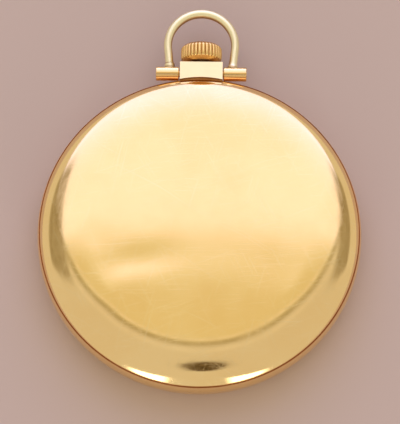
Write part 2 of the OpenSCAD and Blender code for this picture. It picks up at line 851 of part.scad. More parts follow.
module movement_screws() {
  foot = screw_depth - 0.1 - plate_top;
  color("steelblue") {
    for (p = bridge_screws) at(p, bridge_top - screw_head_h) rotate(37 * p[0])
      screw(screw_head_r, screw_head_h, screw_r, bridge_top - screw_head_h + foot);
    at(cock_foot_at, cock_z[1] - screw_head_h) rotate(20)
      screw(screw_head_r, screw_head_h, screw_r, cock_z[1] - screw_head_h + foot);
    at(pallet_foot_at, pallet_bridge_z[1]) rotate(70)
      screw(0.7, 0.25, screw_r, pallet_bridge_z[1] + foot);
  }
}

module jewel(p, z) {
  at(p, z) rotate_extrude($fn = small) polygon([
    [pivot_r + run, 0], [jewel_r, 0], [jewel_r, jewel_t], [jewel_r - 0.15, jewel_t],
    [pivot_r + run + 0.06, jewel_t - 0.12], [pivot_r + run, jewel_t - 0.12]
  ]);
}

module jewels() {
  color("crimson") {
    for (p = [third_at, escape_at, pallet_at, balance_at]) jewel(p, plate_top - jewel_t);
    for (p = [centre_at, third_at, fourth_at, escape_at]) jewel(p, bridge_top - jewel_t);
    jewel(balance_at, cock_z[1] - jewel_t);
  }
}

// ---------------------------------------------------------------- barrel and winding work

module barrel_drum() {
  color("gold") at(barrel_at) difference() {
    union() {
      span(drum_z) circle(drum_r, $fn = fine);
      gear(barrel_n, barrel_m, 0, drum_teeth_z);
    }
    span([drum_z[0] + drum_floor, drum_z[1] + overcut]) circle(drum_r - drum_wall, $fn = fine);
    span([drum_z[0] - overcut, drum_z[1]]) circle(barrel_pivot_r + run, $fn = small);
  }
}

module barrel_cover() {
  color("gold") at(barrel_at) span([drum_z[1] - drum_floor, drum_z[1]]) difference() {
    circle(drum_r - drum_wall, $fn = fine);
    circle(barrel_pivot_r + run, $fn = small);
  }
}

module barrel_arbor() {
  hub_z = [drum_z[0] + drum_floor + fit, drum_z[1] - drum_floor - fit];
  square_z = winding_z[1] - 0.05;
  color("silver") at(barrel_at) difference() {
    union() {
      span([plate_z + 0.05, pocket_z]) circle(barrel_pivot_r, $fn = small);
      span(hub_z) circle(barrel_hub_r, $fn = small);
      span([pocket_z - 0.05, square_z]) square(barrel_square_w, center = true);
    }
    span([square_z - ratchet_screw_len, square_z + overcut]) circle(ratchet_screw_r, $fn = small);
  }
}

module mainspring() {
  z = [drum_z[0] + drum_floor + air, drum_z[1] - drum_floor - air];
  color("slategray") at(barrel_at) span(z)
    spiral(barrel_hub_r + 0.15, drum_r - drum_wall - 0.25, 9, 0.14, 40);
}

module ratchet_wheel() {
  color("silver") at(barrel_at) difference() {
    gear(ratchet_n, winding_m, mesh_turn(crown_wheel_at, barrel_at, 0, crown_wheel_n, ratchet_n),
         winding_z);
    span([winding_z[0] - overcut, winding_z[1] + overcut])
      square(barrel_square_w + 0.02, center = true);
  }
}

module ratchet_screw() {
  color("steelblue") at(barrel_at, winding_z[1])
    screw(1.3, screw_head_h, ratchet_screw_r, ratchet_screw_len - 0.05);
}

module crown_wheel() {
  color("silver") at(crown_wheel_at) difference() {
    gear(crown_wheel_n, winding_m, 0, winding_z);
    span([winding_z[0] - overcut, winding_z[1] + overcut]) circle(hub_screw_r + run);
  }
}

module crown_wheel_screw() {
  head_z = winding_z[1] + 0.05;
  tip_z = stem_z + clutch_r + air;
  color("steelblue") at(crown_wheel_at) {
    span([pocket_z, head_z]) circle(hub_screw_r);
    translate([0, 0, head_z]) screw(1.4, screw_head_h, screw_r, head_z - tip_z);
  }
}

module click() {
  tip = barrel_at + polar(ratchet_r + addendum * winding_m + 0.08, click_tip_turn);
  side = polar(0.95, turn_to(click_at, tip) + 90);
  color("silver") difference() {
    span([winding_z[0], click_top]) {
      translate(click_at) circle(1.1);
      polygon([click_at + side, tip, click_at - side]);
    }
    span([pocket_z, bridge_top]) translate(click_at) circle(screw_r + run, $fn = small);
  }
}

module click_screw() {
  color("steelblue") at(click_at, click_top + 0.04)
    screw(screw_head_r, screw_head_h, screw_r, click_top + 0.04 - bridge_z - 0.05);
}

module click_spring() {
  away = turn_to(click_at, click_spring_at) - 35;
  color("slategray") span([pocket_z, click_top - 0.05]) {
    translate(click_spring_at) circle(0.7);
    bar_2d(click_spring_at, click_at + polar(1.3, away), 0.14);
  }
}

module winding_pinion() {
  color("silver") translate([0, winder_y, stem_z]) rotate([-90, 0, 0]) difference() {
    linear_extrude(winder_len) polygon(gear_points(winder_n, winder_m));
    translate([0, 0, -overcut]) cylinder(h = winder_len + 2 * overcut, r = stem_r + run);
  }
}

module sliding_pinion() {
  groove_z = (clutch_len - clutch_groove_w) / 2;
  color("silver") translate([0, clutch_y, stem_z]) rotate([-90, 0, 0]) difference() {
    cylinder(h = clutch_len, r = clutch_r);
    translate([0, 0, groove_z]) difference() {
      cylinder(h = clutch_groove_w, r = clutch_r + overcut);
      cylinder(h = clutch_groove_w, r = clutch_groove_r);
    }
    translate([0, 0, -overcut]) linear_extrude(clutch_len + 2 * overcut)
      square(square_w + 2 * run, center = true);
    for (i = [0 : face_teeth - 1], z = [-overcut, clutch_len - face_tooth])
      rotate(360 / face_teeth * i) translate([square_w / 2 + 0.25, -0.1, z])
        cube([clutch_r, 0.2, face_tooth + overcut]);
  }
}

// Lever on the dial side: a flat bar with a pivot pin and a working pin, both going up
module keyless_lever(pivot, tip, w, pin_top) {
  span(lever_z) {
    bar_2d(pivot, tip, w);
    translate(pivot) circle(w * 0.7, $fn = small);
    translate(tip) circle(w / 2, $fn = small);
  }
  span([lever_z[1] - 0.05, plate_z + 1.1]) translate(pivot) circle(lever_pin_r, $fn = small);
  span([lever_z[1] - 0.05, pin_top]) translate(tip) circle(guide_pin_r, $fn = small);
}

module setting_lever() {
  color("silver") keyless_lever(setting_lever_at, [lever_offset, groove_y + groove_w / 2], 0.8,
                                stem_z - groove_r - 0.06);
}

module yoke() {
  color("silver") keyless_lever(yoke_at, [lever_offset, clutch_mid_y], 0.8,
                                stem_z - clutch_groove_r - 0.06);
}

module yoke_spring() {
  color("slategray") {
    span(lever_z) {
      translate(yoke_spring_at) circle(0.55, $fn = small);
      bar_2d(yoke_spring_at, [lever_arm * 0.7, clutch_mid_y + 0.4], 0.14);
    }
    span([lever_z[1] - 0.05, plate_z + 0.9]) translate(yoke_spring_at)
      circle(lever_pin_r, $fn = small);
  }
}

// ---------------------------------------------------------------- motion work

module post_wheel(p, n, turn) {
  at(p) {
    gear(n, motion_m, turn, motion_wheel_z);
    span([motion_wheel_z[1] - 0.05, plate_z + 1.2]) circle(post_r, $fn = small);
  }
}

minute_turn = mesh_turn(centre_at, minute_at, 0, cannon_n, minute_n);
intermediate_turn = mesh_turn(minute_at, intermediate_at, minute_turn, minute_n, intermediate_n);

module setting_wheel() {
  color("silver") post_wheel(setting_at, setting_n,
    mesh_turn(intermediate_at, setting_at, intermediate_turn, intermediate_n, setting_n));
}

module intermediate_wheel() {
  color("silver") post_wheel(intermediate_at, intermediate_n, intermediate_turn);
}

module minute_wheel() {
  color("gold") {
    post_wheel(minute_at, minute_n, minute_turn);
    at(minute_at) gear(minute_pinion_n, motion_m, minute_turn,
                       [hour_wheel_z[0], motion_wheel_z[0] + 0.05]);
  }
}

module cannon_pinion() {
  color("silver") difference() {
    union() {
      gear(cannon_n, motion_m, 0, [motion_wheel_z[0] - 0.04, motion_wheel_z[1]]);
      span([minute_hand_z, motion_wheel_z[0] - 0.04]) circle(cannon_r);
    }
    span([centre_end_z, plate_top]) circle(arbor_r, $fn = small);
  }
}

module hour_wheel() {
  color("gold") difference() {
    union() {
      gear(hour_n, motion_m,
           mesh_turn(minute_at, centre_at, minute_turn, minute_pinion_n, hour_n), hour_wheel_z);
      span([hour_hand_z, hour_wheel_z[1]]) circle(hour_tube_r);
    }
    span([0, plate_top]) circle(cannon_r + run);
  }
}

// ---------------------------------------------------------------- going train

centre_turn = mesh_turn(barrel_at, centre_at, 0, barrel_n, centre_pinion_n);
third_pinion_turn = mesh_turn(centre_at, third_at, 0, centre_n, third_pinion_n);
fourth_pinion_turn = mesh_turn(third_at, fourth_at, 0, third_n, fourth_pinion_n);
escape_pinion_turn = mesh_turn(fourth_at, escape_at, 0, fourth_n, escape_pinion_n);

module centre_wheel() {
  color("gold") {
    spoked_wheel(centre_n, centre_m, 0, centre_wheel_z, 5, 0.5, 1.1, 0.5);
    gear(centre_pinion_n, barrel_m, centre_turn,
         [centre_pinion_z, centre_wheel_z[0]]);
    span([centre_end_z, bridge_top - jewel_t - 0.05]) circle(arbor_r, $fn = small);
    span([bridge_top - jewel_t - 0.1, bridge_top - 0.05]) circle(pivot_r, $fn = small);
  }
}

module third_wheel() {
  color("gold") at(third_at) {
    spoked_wheel(third_n, third_m, 0, third_wheel_z, 5, 0.4, 0.9, 0.4);
    gear(third_pinion_n, centre_m, third_pinion_turn, third_pinion_z);
    arbor(train_arbor_z);
  }
}

module fourth_wheel() {
  color("gold") at(fourth_at) {
    spoked_wheel(fourth_n, fourth_m, 0, fourth_wheel_z, 5, 0.35, 0.8, 0.35);
    gear(fourth_pinion_n, third_m, fourth_pinion_turn, fourth_pinion_z);
    arbor(train_arbor_z);
    span([seconds_hand_z, plate_top + 0.1]) circle(seconds_arbor_r, $fn = small);
  }
}

module escape_wheel() {
  root_r = escape_r * 0.78;
  pitch = 360 / escape_n;
  color("gold") at(escape_at) {
    span(escape_wheel_z) difference() {
      polygon([for (i = [0 : escape_n - 1])
        for (p = [[root_r, 0], [escape_r, 0.36], [escape_r - 0.12, 0.48], [root_r, 0.5]])
          polar(p[0], (i + p[1]) * pitch)]);
      difference() {
        circle(root_r - 0.3);
        circle(0.75);
        for (i = [0 : 3]) rotate(90 * i) translate([0, -0.15]) square([escape_r, 0.3]);
      }
    }
    gear(escape_pinion_n, fourth_m, escape_pinion_turn, escape_pinion_z);
    arbor(train_arbor_z);
  }
}

// Pallet fork: two arms that reach for the escape wheel and a lever to the balance
module pallet_fork() {
  reach = escape_r * tan(pallet_span);
  horn = polar(1, lever_turn);
  side = polar(1, lever_turn + 90);
  color("silver") {
    span(fork_z) translate(pallet_at) {
      circle(0.6);
      for (s = [-1, 1]) bar_2d([0, 0], pallet_arm(s) - polar(0.35, pallet_arm_turn(s)), 0.4);
      bar_2d([0, 0], horn * (lever_len - 0.5), 0.34);
      bar_2d(horn * (lever_len - 0.6) - side * 0.5, horn * (lever_len - 0.6) + side * 0.5, 0.3);
      for (s = [-1, 1])
        bar_2d(horn * (lever_len - 0.5) + side * s * 0.39, horn * lever_len + side * s * 0.39, 0.2);
    }
    at(pallet_at) arbor([plate_top + 0.05, pallet_bridge_z[0] - 0.05], 0.25, pivot_r, 0.3);
  }
}

// A pallet's tip, from the fork's axis, and the direction of its arm
function pallet_arm(s) =
  escape_at + polar(escape_r + 0.35, lever_turn + s * pallet_span) - pallet_at;
function pallet_arm_turn(s) = atan2(pallet_arm(s)[1], pallet_arm(s)[0]);

module pallet_stones() {
  color("crimson") span(fork_z) translate(pallet_at)
    for (s = [-1, 1]) {
      a = pallet_arm_turn(s);
      bar_2d(pallet_arm(s) - polar(0.35, a), pallet_arm(s) + polar(0.1, a), 0.26);
    }
}

// ---------------------------------------------------------------- balance

module balance_wheel() {
  color("gold") at(balance_at) span(balance_z) {
    difference() {
      circle(balance_r, $fn = fine);
      circle(balance_r - 0.65, $fn = fine);
    }
    difference() {
      union() {
        circle(0.9);
        square([2 * balance_r - 1, 0.6], center = true);
      }
      circle(arbor_r, $fn = small);
    }
  }
}

module balance_screws() {
  mid_z = (balance_z[0] + balance_z[1]) / 2;
  color("goldenrod") for (i = [0 : balance_screw_n - 1])
    at(balance_at, mid_z) rotate([0, 90, 360 / balance_screw_n * (i + 0.5)])
      translate([0, 0, balance_r]) cylinder(h = 0.3, r = 0.19, $fn = small);
}

module balance_staff() {
  color("silver") at(balance_at) {
    arbor([plate_top + 0.05, cock_z[1] - jewel_t - 0.05]);
    span(roller_z) circle(impulse_r + 0.3);
    span([roller_z[0] - 0.3, roller_z[0] + 0.05])
      translate(polar(impulse_r, lever_turn + 180)) circle(impulse_pin_r, $fn = small);
    span([spring_z[0] - 0.05, spring_z[1] + 0.05]) circle(collet_r);
  }
}

module hairspring() {
  color("steelblue") at(balance_at) span(spring_z) rotate(stud_turn)
    spiral(collet_r + 0.1, stud_out - stud_r - 0.05 - hairspring_t, 7, hairspring_t, 36);
}

module hairspring_stud() {
  color("silver") at(stud_at) span([spring_z[0] - 0.05, cock_z[1]]) circle(stud_r, $fn = small);
}

module regulator() {
  ring_z = [cock_z[1] + fit, cock_z[1] + 0.18];
  color("silver") at(balance_at) {
    span(ring_z) difference() {
      union() {
        circle(1.3);
        rotate(regulator_turn) translate([0, -0.2]) square([balance_r - 0.4, 0.4]);
      }
      circle(jewel_r + air);
    }
    rotate(regulator_turn) for (x = [-0.16, 0.16]) translate([stud_out - 0.35 + x, 0, 0])
      span([spring_z[1] + fit, ring_z[0] + 0.05]) circle(0.08, $fn = small);
  }
}

// ---------------------------------------------------------------- drawing

mid_case();
bezel();
crystal();
back_cover();
pendant();
pendant_sleeve();
bow();
bow_knuckle_left();
bow_knuckle_right();
bow_pins();
crown();
stem();
dial();
hour_markers();
hour_hand();
minute_hand();
seconds_hand();
main_plate();
barrel_bridge();
train_bridge();
pallet_bridge();
balance_cock();
case_clamps();
case_screws();
movement_screws();
jewels();
barrel_drum();
barrel_cover();
barrel_arbor();
mainspring();
ratchet_wheel();
ratchet_screw();
crown_wheel();
crown_wheel_screw();
click();
click_screw();
click_spring();
winding_pinion();
sliding_pinion();
setting_lever();
yoke();
yoke_spring();
setting_wheel();
intermediate_wheel();
minute_wheel();
cannon_pinion();
hour_wheel();
centre_wheel();
third_wheel();
fourth_wheel();
escape_wheel();
pallet_fork();
pallet_stones();
balance_wheel();
balance_screws();
balance_staff();
hairspring();
hairspring_stud();
regulator();
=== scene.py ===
"""Open face pocket watch, lying on its crystal with the case back up.

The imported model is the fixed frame: its origin is the centre of the crystal's outer
face, +Z comes out of the case back and +Y points to twelve o'clock. Lengths in the
classes are in millimetres and meshes are in metres.
"""
import json
import logging
import math
from dataclasses import dataclass, field
from enum import Enum
from typing import Callable, Sequence

import bmesh
import bpy
from mathutils import Matrix, Vector

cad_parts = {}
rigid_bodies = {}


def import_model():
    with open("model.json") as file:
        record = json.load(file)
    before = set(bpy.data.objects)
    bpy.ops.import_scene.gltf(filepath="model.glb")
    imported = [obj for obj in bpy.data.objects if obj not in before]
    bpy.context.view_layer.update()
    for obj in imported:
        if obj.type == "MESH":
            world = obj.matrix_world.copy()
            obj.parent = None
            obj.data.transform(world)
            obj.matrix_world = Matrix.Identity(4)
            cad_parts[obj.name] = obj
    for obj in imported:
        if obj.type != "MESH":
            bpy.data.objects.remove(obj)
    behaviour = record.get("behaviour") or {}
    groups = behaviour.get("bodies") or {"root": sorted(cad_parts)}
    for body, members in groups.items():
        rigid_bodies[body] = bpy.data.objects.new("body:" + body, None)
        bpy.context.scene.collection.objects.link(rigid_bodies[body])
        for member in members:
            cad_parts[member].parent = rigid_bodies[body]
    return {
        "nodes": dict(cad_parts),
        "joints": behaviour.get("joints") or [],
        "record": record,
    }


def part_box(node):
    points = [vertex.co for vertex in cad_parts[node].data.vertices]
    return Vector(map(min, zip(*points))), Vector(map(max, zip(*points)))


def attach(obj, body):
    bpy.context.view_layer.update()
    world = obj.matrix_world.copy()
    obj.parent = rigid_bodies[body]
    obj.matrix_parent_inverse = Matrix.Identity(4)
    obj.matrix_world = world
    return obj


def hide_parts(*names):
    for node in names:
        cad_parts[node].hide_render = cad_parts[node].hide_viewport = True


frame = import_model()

MM = 0.001
LOG = logging.getLogger("pocket_watch")

Point = tuple[float, float]
Colour = tuple[float, float, float]
Socket = bpy.types.NodeSocket
Value = float | tuple[float, ...] | Socket


class Body(Enum):
    """The moving bodies that pieces ride on."""

    CASE = "case"
    BACK = "back"
    BOW = "bow"
    CROWN = "crown_and_stem"


class Slot(Enum):
    """The record's material slots."""

    GOLD = "case_gold"
    CRYSTAL = "crystal_glass"
    DIAL = "dial_silver"
    GILT = "gilt_brass"
    STEEL = "polished_steel"
    BLUED = "blued_steel"
    RUBY = "ruby"
    SPRING = "spring_steel"


# ---------------------------------------------------------------- frame readings


def box_mm(node: str) -> tuple[Vector, Vector]:
    """Gives a node's corners in millimetres.

    Args:
        node: The name of a CAD node.

    Returns:
        The lowest and the highest corner.
    """
    low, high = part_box(node)
    return Vector(low) / MM, Vector(high) / MM


def joint_place(name: str) -> Vector:
    """Gives a hinge's point in millimetres.

    Args:
        name: The joint's name.

    Returns:
        A point on its axis.
    """
    found = next(j for j in frame["joints"] if j["name"] == name)
    return Vector(found["pos_m"]) / MM


SECONDS_R = 4.6
SECONDS_SUNK = 0.12


def seconds_place() -> Point:
    """Gives the centre of the small seconds dial."""
    return tuple(joint_place("fourth_turn").xy)


# ---------------------------------------------------------------- node trees


class Nodes:
    """A node tree that is written as expressions."""

    def __init__(self, tree: bpy.types.NodeTree) -> None:
        """Takes the tree to fill."""
        self.tree = tree

    def add(self, kind: str, settings: dict[str, object] | None = None,
            **inputs: object) -> bpy.types.Node:
        """Adds a node.

        Args:
            kind: The node's type name.
            settings: Values for the node's own properties.
            **inputs: Values or sockets for its inputs, with spaces written as "_".

        Returns:
            The new node.
        """
        node = self.tree.nodes.new(kind)
        for key, value in (settings or {}).items():
            setattr(node, key, value)
        for key, value in inputs.items():
            self.feed(node.inputs[key.replace("_", " ")], value)
        return node

    def feed(self, socket: Socket, value: object) -> None:
        """Links a socket to another or sets its value.

        Args:
            socket: The input to fill.
            value: A socket to link from, or a plain value.
        """
        if isinstance(value, bpy.types.NodeSocket):
            self.tree.links.new(value, socket)
        else:
            socket.default_value = value

    def math(self, operation: str, *values: Value) -> Socket:
        """Adds a Math node.

        Args:
            operation: The node's operation, such as "MULTIPLY".
            *values: Up to three numbers or sockets.

        Returns:
            Its result.
        """
        node = self.add("ShaderNodeMath", {"operation": operation})
        for socket, value in zip(node.inputs, values):
            self.feed(socket, value)
        return node.outputs[0]


class Graph(Nodes):
    """A shader tree."""

    def __init__(self, tree: bpy.types.NodeTree) -> None:
        """Starts from an empty tree."""
        super().__init__(tree)
        tree.nodes.clear()

    def ramp(self, value: Socket, low: float, high: float, out: Point = (0.0, 1.0)) -> Socket:
        """Maps a range smoothly to another.

        Args:
            value: The socket to read.
            low: The value that gives the first result.
            high: The value that gives the second result.
            out: The two results.

        Returns:
            The mapped value.
        """
        node = self.add("ShaderNodeMapRange", {"interpolation_type": "SMOOTHSTEP"}, Value=value)
        node.inputs["From Min"].default_value = low
        node.inputs["From Max"].default_value = high
        node.inputs["To Min"].default_value = out[0]
        node.inputs["To Max"].default_value = out[1]
        return node.outputs["Result"]

    def window(self, value: Socket, rise: Point, fall: Point) -> Socket:
        """Picks out a stretch of values with soft ends.

        Args:
            value: The socket to read.
            rise: Where the result starts from 0 and where it reaches 1.
            fall: Where the result is back at 0 and where it leaves 1.

        Returns:
            A value from 0 to 1.
        """
        return self.math("MULTIPLY", self.ramp(value, *rise), self.ramp(value, *fall))

    def length(self, vector: Socket) -> Socket:
        """Gives a vector's length.

        Args:
            vector: The vector.

        Returns:
            Its length.
        """
        node = self.add("ShaderNodeVectorMath", {"operation": "LENGTH"})
        self.feed(node.inputs[0], vector)
        return node.outputs["Value"]

    def mix(self, factor: Value, first: Value, second: Value) -> Socket:
        """Mixes two colours.

        Args:
            factor: How much of the second, as a number or a socket.
            first: The first colour or socket.
            second: The second colour or socket.

        Returns:
            The mixed colour.
        """
        node = self.add("ShaderNodeMix", {"data_type": "RGBA"})
        self.feed(node.inputs["Factor"], factor)
        self.feed(node.inputs["A"], as_colour(first))
        self.feed(node.inputs["B"], as_colour(second))
        return node.outputs["Result"]

    def noise(self, vector: Socket, scale: float, detail: float = 2.0, rough: float = 0.5) -> Socket:
        """Adds a noise texture.

        Args:
            vector: The coordinate to read.
            scale: Number of features to a metre.
            detail: Number of finer octaves.
            rough: Strength of the finer octaves.

        Returns:
            Its value.
        """
        node = self.add("ShaderNodeTexNoise", Vector=vector, Scale=scale, Detail=detail,
                        Roughness=rough)
        return node.outputs["Fac"]

    def placed(self, vector: Socket, turn: float = 0.0, scale: Sequence[float] = (1, 1, 1),
               shift: Sequence[float] = (0, 0, 0)) -> Socket:
        """Turns, stretches and shifts a coordinate.

        Args:
            vector: The coordinate.
            turn: Angle about Z in radians.
            scale: Stretch along each axis after the turn.
            shift: Place that becomes the origin, in metres.

        Returns:
            The new coordinate.
        """
        moved = self.add("ShaderNodeMapping", {"vector_type": "POINT"}, Vector=vector)
        moved.inputs["Location"].default_value = [-value for value in shift]
        turned = self.add("ShaderNodeMapping", {"vector_type": "TEXTURE"},
                          Vector=moved.outputs["Vector"])
        turned.inputs["Rotation"].default_value = (0.0, 0.0, turn)
        sized = self.add("ShaderNodeMapping", {"vector_type": "POINT"},
                         Vector=turned.outputs["Vector"])
        sized.inputs["Scale"].default_value = scale
        return sized.outputs["Vector"]

    def bump(self, height: Socket, strength: float, distance: float,
             normal: Socket | None = None) -> Socket:
        """Adds a Bump node.

        Args:
            height: The relief.
            strength: How much of it shows.
            distance: Height of the relief in metres.
            normal: A normal to start from.

        Returns:
            The bumped normal.
        """
        node = self.add("ShaderNodeBump", Height=height, Strength=strength, Distance=distance)
        if normal is not None:
            self.feed(node.inputs["Normal"], normal)
        return node.outputs["Normal"]


def as_colour(value: Value) -> Value:
    """Adds the alpha that colour sockets want, and leaves sockets alone.

    Args:
        value: Three numbers or a socket.

    Returns:
        Four numbers or the same socket.
    """
    if isinstance(value, (tuple, list)) and len(value) == 3:
        return (*value, 1.0)
    return value


def new_material(name: str) -> tuple[bpy.types.Material, Graph, bpy.types.Node, Socket]:
    """Starts a material on a Principled shader.

    Args:
        name: The material's name.

    Returns:
        The material, its graph, the shader and the object coordinate.
    """
    material = bpy.data.materials.new(name)
    material.use_nodes = True
    graph = Graph(material.node_tree)
    shader = graph.add("ShaderNodeBsdfPrincipled")
    output = graph.add("ShaderNodeOutputMaterial")
    graph.feed(output.inputs["Surface"], shader.outputs["BSDF"])
    place = graph.add("ShaderNodeTexCoord").outputs["Object"]
    return material, graph, shader, place


# ---------------------------------------------------------------- finishes


@dataclass(frozen=True)
class ScratchFamily:
    """Thin scratches that run roughly one way.

    Attributes:
        turn: Direction in radians.
        across: Lines to a metre across them.
        along: Lines to a metre along them.
        rarity: Noise value above which a line shows.
    """

    turn: float
    across: float
    along: float
    rarity: float


@dataclass(frozen=True)
class PolishedGold:
    """Yellow gold with fine scratches, a soft haze, and a deeper tone in dirty seams and in painted
    shade.

    Attributes:
        name: The material's name.
        colour: The metal's reflectance.
        deep: The tone that the patches drift to.
        darkening: The tone in dirty seams and the painted shade in grooves, corners and hollows, where
            the patina_and_shade attribute is 1.
        roughness: Roughness of the clean polish.
        haze: How much the roughness rises in dull patches.
        scratches: How strongly the scratches show, from 0 to 1.
        tarnish: How far the tone drifts, from 0 to 1.
        families: The families of scratches.
        fresh: The tone of metal laid bare in a scratch.
        bend_scale: Bends in the scratches to a metre.
        bend_reach: How far a bend moves a scratch, in metres.
        line_edge: Softness of a scratch's edge.
        patch_scale: Tone patches to a metre.
        mottle_scale: Mottles to a metre.
        relief: Height of the finest relief in metres.
    """

    name: str
    colour: Colour = (0.985, 0.745, 0.375)
    deep: Colour = (0.93, 0.64, 0.27)
    darkening: Colour = (0.42, 0.15, 0.02)
    roughness: float = 0.075
    haze: float = 0.06
    scratches: float = 1.0
    tarnish: float = 0.35

    families = (
        ScratchFamily(0.35, 9200.0, 150.0, 0.735),
        ScratchFamily(1.30, 8300.0, 130.0, 0.745),
        ScratchFamily(2.05, 10100.0, 190.0, 0.735),
        ScratchFamily(2.62, 6600.0, 45.0, 0.765),
        ScratchFamily(0.05, 11400.0, 210.0, 0.725),
    )
    fresh = (1.0, 0.88, 0.6)
    bend_scale = 110.0
    bend_reach = 0.0012
    line_edge = 0.05
    patch_scale = 90.0
    mottle_scale = 420.0
    relief = 1.6e-5

    def scratch_mask(self, graph: Graph, place: Socket) -> Socket:
        """Draws several families of long thin lines.

        Args:
            graph: The material's graph.
            place: The object coordinate.

        Returns:
            A value that is 1 in a scratch and 0 outside.
        """
        bend = graph.add("ShaderNodeTexNoise", Vector=place, Scale=self.bend_scale, Detail=1.0)
        bent = graph.add("ShaderNodeVectorMath", {"operation": "MULTIPLY_ADD"})
        graph.feed(bent.inputs[0], bend.outputs["Color"])
        graph.feed(bent.inputs[1], (self.bend_reach, self.bend_reach, 0.0))
        graph.feed(bent.inputs[2], place)
        total: Socket | None = None
        for index, family in enumerate(self.families):
            lines = graph.placed(bent.outputs[0], family.turn, (family.along, family.across, 300.0),
                                 (0.013 * index, 0.007 * index, 0.0))
            value = graph.noise(lines, 1.0, 0.0)
            line = graph.ramp(value, family.rarity, family.rarity + self.line_edge)
            total = line if total is None else graph.math("MAXIMUM", total, line)
        return total

    def brushing(self, graph: Graph, place: Socket) -> Socket:
        """Draws the faint wipe marks that run mostly across the watch.

        Args:
            graph: The material's graph.
            place: The object coordinate.

        Returns:
            The marks as a relief.
        """
        across = graph.noise(graph.placed(place, 0.06, (260.0, 5200.0, 260.0)), 1.0, 3.0, 0.6)
        askew = graph.noise(graph.placed(place, -0.75, (300.0, 4400.0, 300.0)), 1.0, 2.0)
        return graph.math("MULTIPLY_ADD", askew, 0.5, across)

    def build(self) -> bpy.types.Material:
        """Makes the material.

        Returns:
            The finished material.
        """
        material, graph, shader, place = new_material(self.name)
        scratch = self.scratch_mask(graph, place)
        wipes = self.brushing(graph, place)
        patch = graph.ramp(graph.noise(place, self.patch_scale, 3.0, 0.55), 0.38, 0.68)
        mottle = graph.noise(place, self.mottle_scale, 4.0, 0.6)
        tone = graph.mix(graph.math("MULTIPLY", patch, self.tarnish), self.colour, self.deep)
        bared = graph.math("MULTIPLY", scratch, 0.22 * self.scratches)
        worn = graph.mix(bared, tone, self.fresh)
        # The attribute mixes in the darker tone: dirt in seams, and painted shade in grooves, corners
        # and hollows.
        patina_and_shade = graph.add("ShaderNodeAttribute", {"attribute_name": "patina_and_shade"}).outputs["Fac"]
        uneven = graph.math("MULTIPLY", patina_and_shade, graph.ramp(mottle, 0.2, 0.6, (0.8, 1.0)))
        graph.feed(shader.inputs["Base Color"], graph.mix(uneven, worn, self.darkening))
        shader.inputs["Metallic"].default_value = 1.0
        rough = graph.math("ADD", graph.ramp(mottle, 0.35, 0.75, (0.0, self.haze)), self.roughness)
        rough = graph.math("MULTIPLY_ADD", scratch, 0.06 * self.scratches, rough)
        rough = graph.math("MULTIPLY_ADD", patina_and_shade, 0.15, rough)
        graph.feed(shader.inputs["Roughness"], rough)
        height = graph.math("MULTIPLY_ADD", mottle, 0.45, graph.math("MULTIPLY", scratch, -0.3))
        height = graph.math("MULTIPLY_ADD", wipes, 0.24, height)
        graph.feed(shader.inputs["Normal"], graph.bump(height, 0.11 * self.scratches, self.relief))
        return material


class Pattern(Enum):
    """Surface patterns of the gilt plates."""

    STRIPES = "stripes"
    PEARLS = "pearls"
    FROST = "frost"


@dataclass(frozen=True)
class GiltPlate:
    """Gilt brass with a chosen surface pattern.

    Attributes:
        name: The material's name.
        pattern: Broad ribs, overlapping spots or a matte grain.
        colour: The clean gilding's reflectance.
        deep: The tone that the patches drift to.
        relief: How much of the pattern's height shows.
        rib: Half the width of a rib, in metres.
        lean: Direction of the ribs in radians.
    """

    name: str
    pattern: Pattern = Pattern.FROST
    colour: Colour = (0.86, 0.60, 0.28)
    deep: Colour = (0.70, 0.44, 0.17)
    relief: float = 0.14
    rib: float = 0.0011
    lean: float = 0.55

    def height(self, graph: Graph, place: Socket) -> Socket:
        """Draws the chosen pattern as a relief.

        Args:
            graph: The material's graph.
            place: The object coordinate.

        Returns:
            The relief's height.
        """
        if self.pattern is Pattern.STRIPES:
            turned = graph.placed(place, self.lean)
            across = graph.add("ShaderNodeSeparateXYZ", Vector=turned).outputs["X"]
            wave = graph.math("PINGPONG", across, self.rib)
            ribs = graph.math("MULTIPLY", wave, 900.0)
            grain = graph.noise(graph.placed(place, self.lean, (800.0, 12000.0, 1.0)), 1.0, 2.0)
            return graph.math("MULTIPLY_ADD", grain, 0.25, ribs)
        if self.pattern is Pattern.PEARLS:
            cells = graph.add("ShaderNodeTexVoronoi", Vector=place, Scale=900.0, Randomness=0.25)
            ringed = graph.math("MULTIPLY", cells.outputs["Distance"], 55.0)
            return graph.math("SINE", ringed)
        return graph.noise(place, 9000.0, 3.0, 0.7)

    def build(self) -> bpy.types.Material:
        """Makes the material.

        Returns:
            The finished material.
        """
        material, graph, shader, place = new_material(self.name)
        height = self.height(graph, place)
        patch = graph.ramp(graph.noise(place, 260.0, 3.0), 0.35, 0.7)
        colour = graph.mix(graph.math("MULTIPLY", patch, 0.5), self.colour, self.deep)
        graph.feed(shader.inputs["Base Color"], colour)
        shader.inputs["Metallic"].default_value = 1.0
        graph.feed(shader.inputs["Roughness"], graph.ramp(height, 0.0, 1.0, (0.26, 0.36)))
        graph.feed(shader.inputs["Normal"], graph.bump(height, self.relief, 2e-5))
        return material


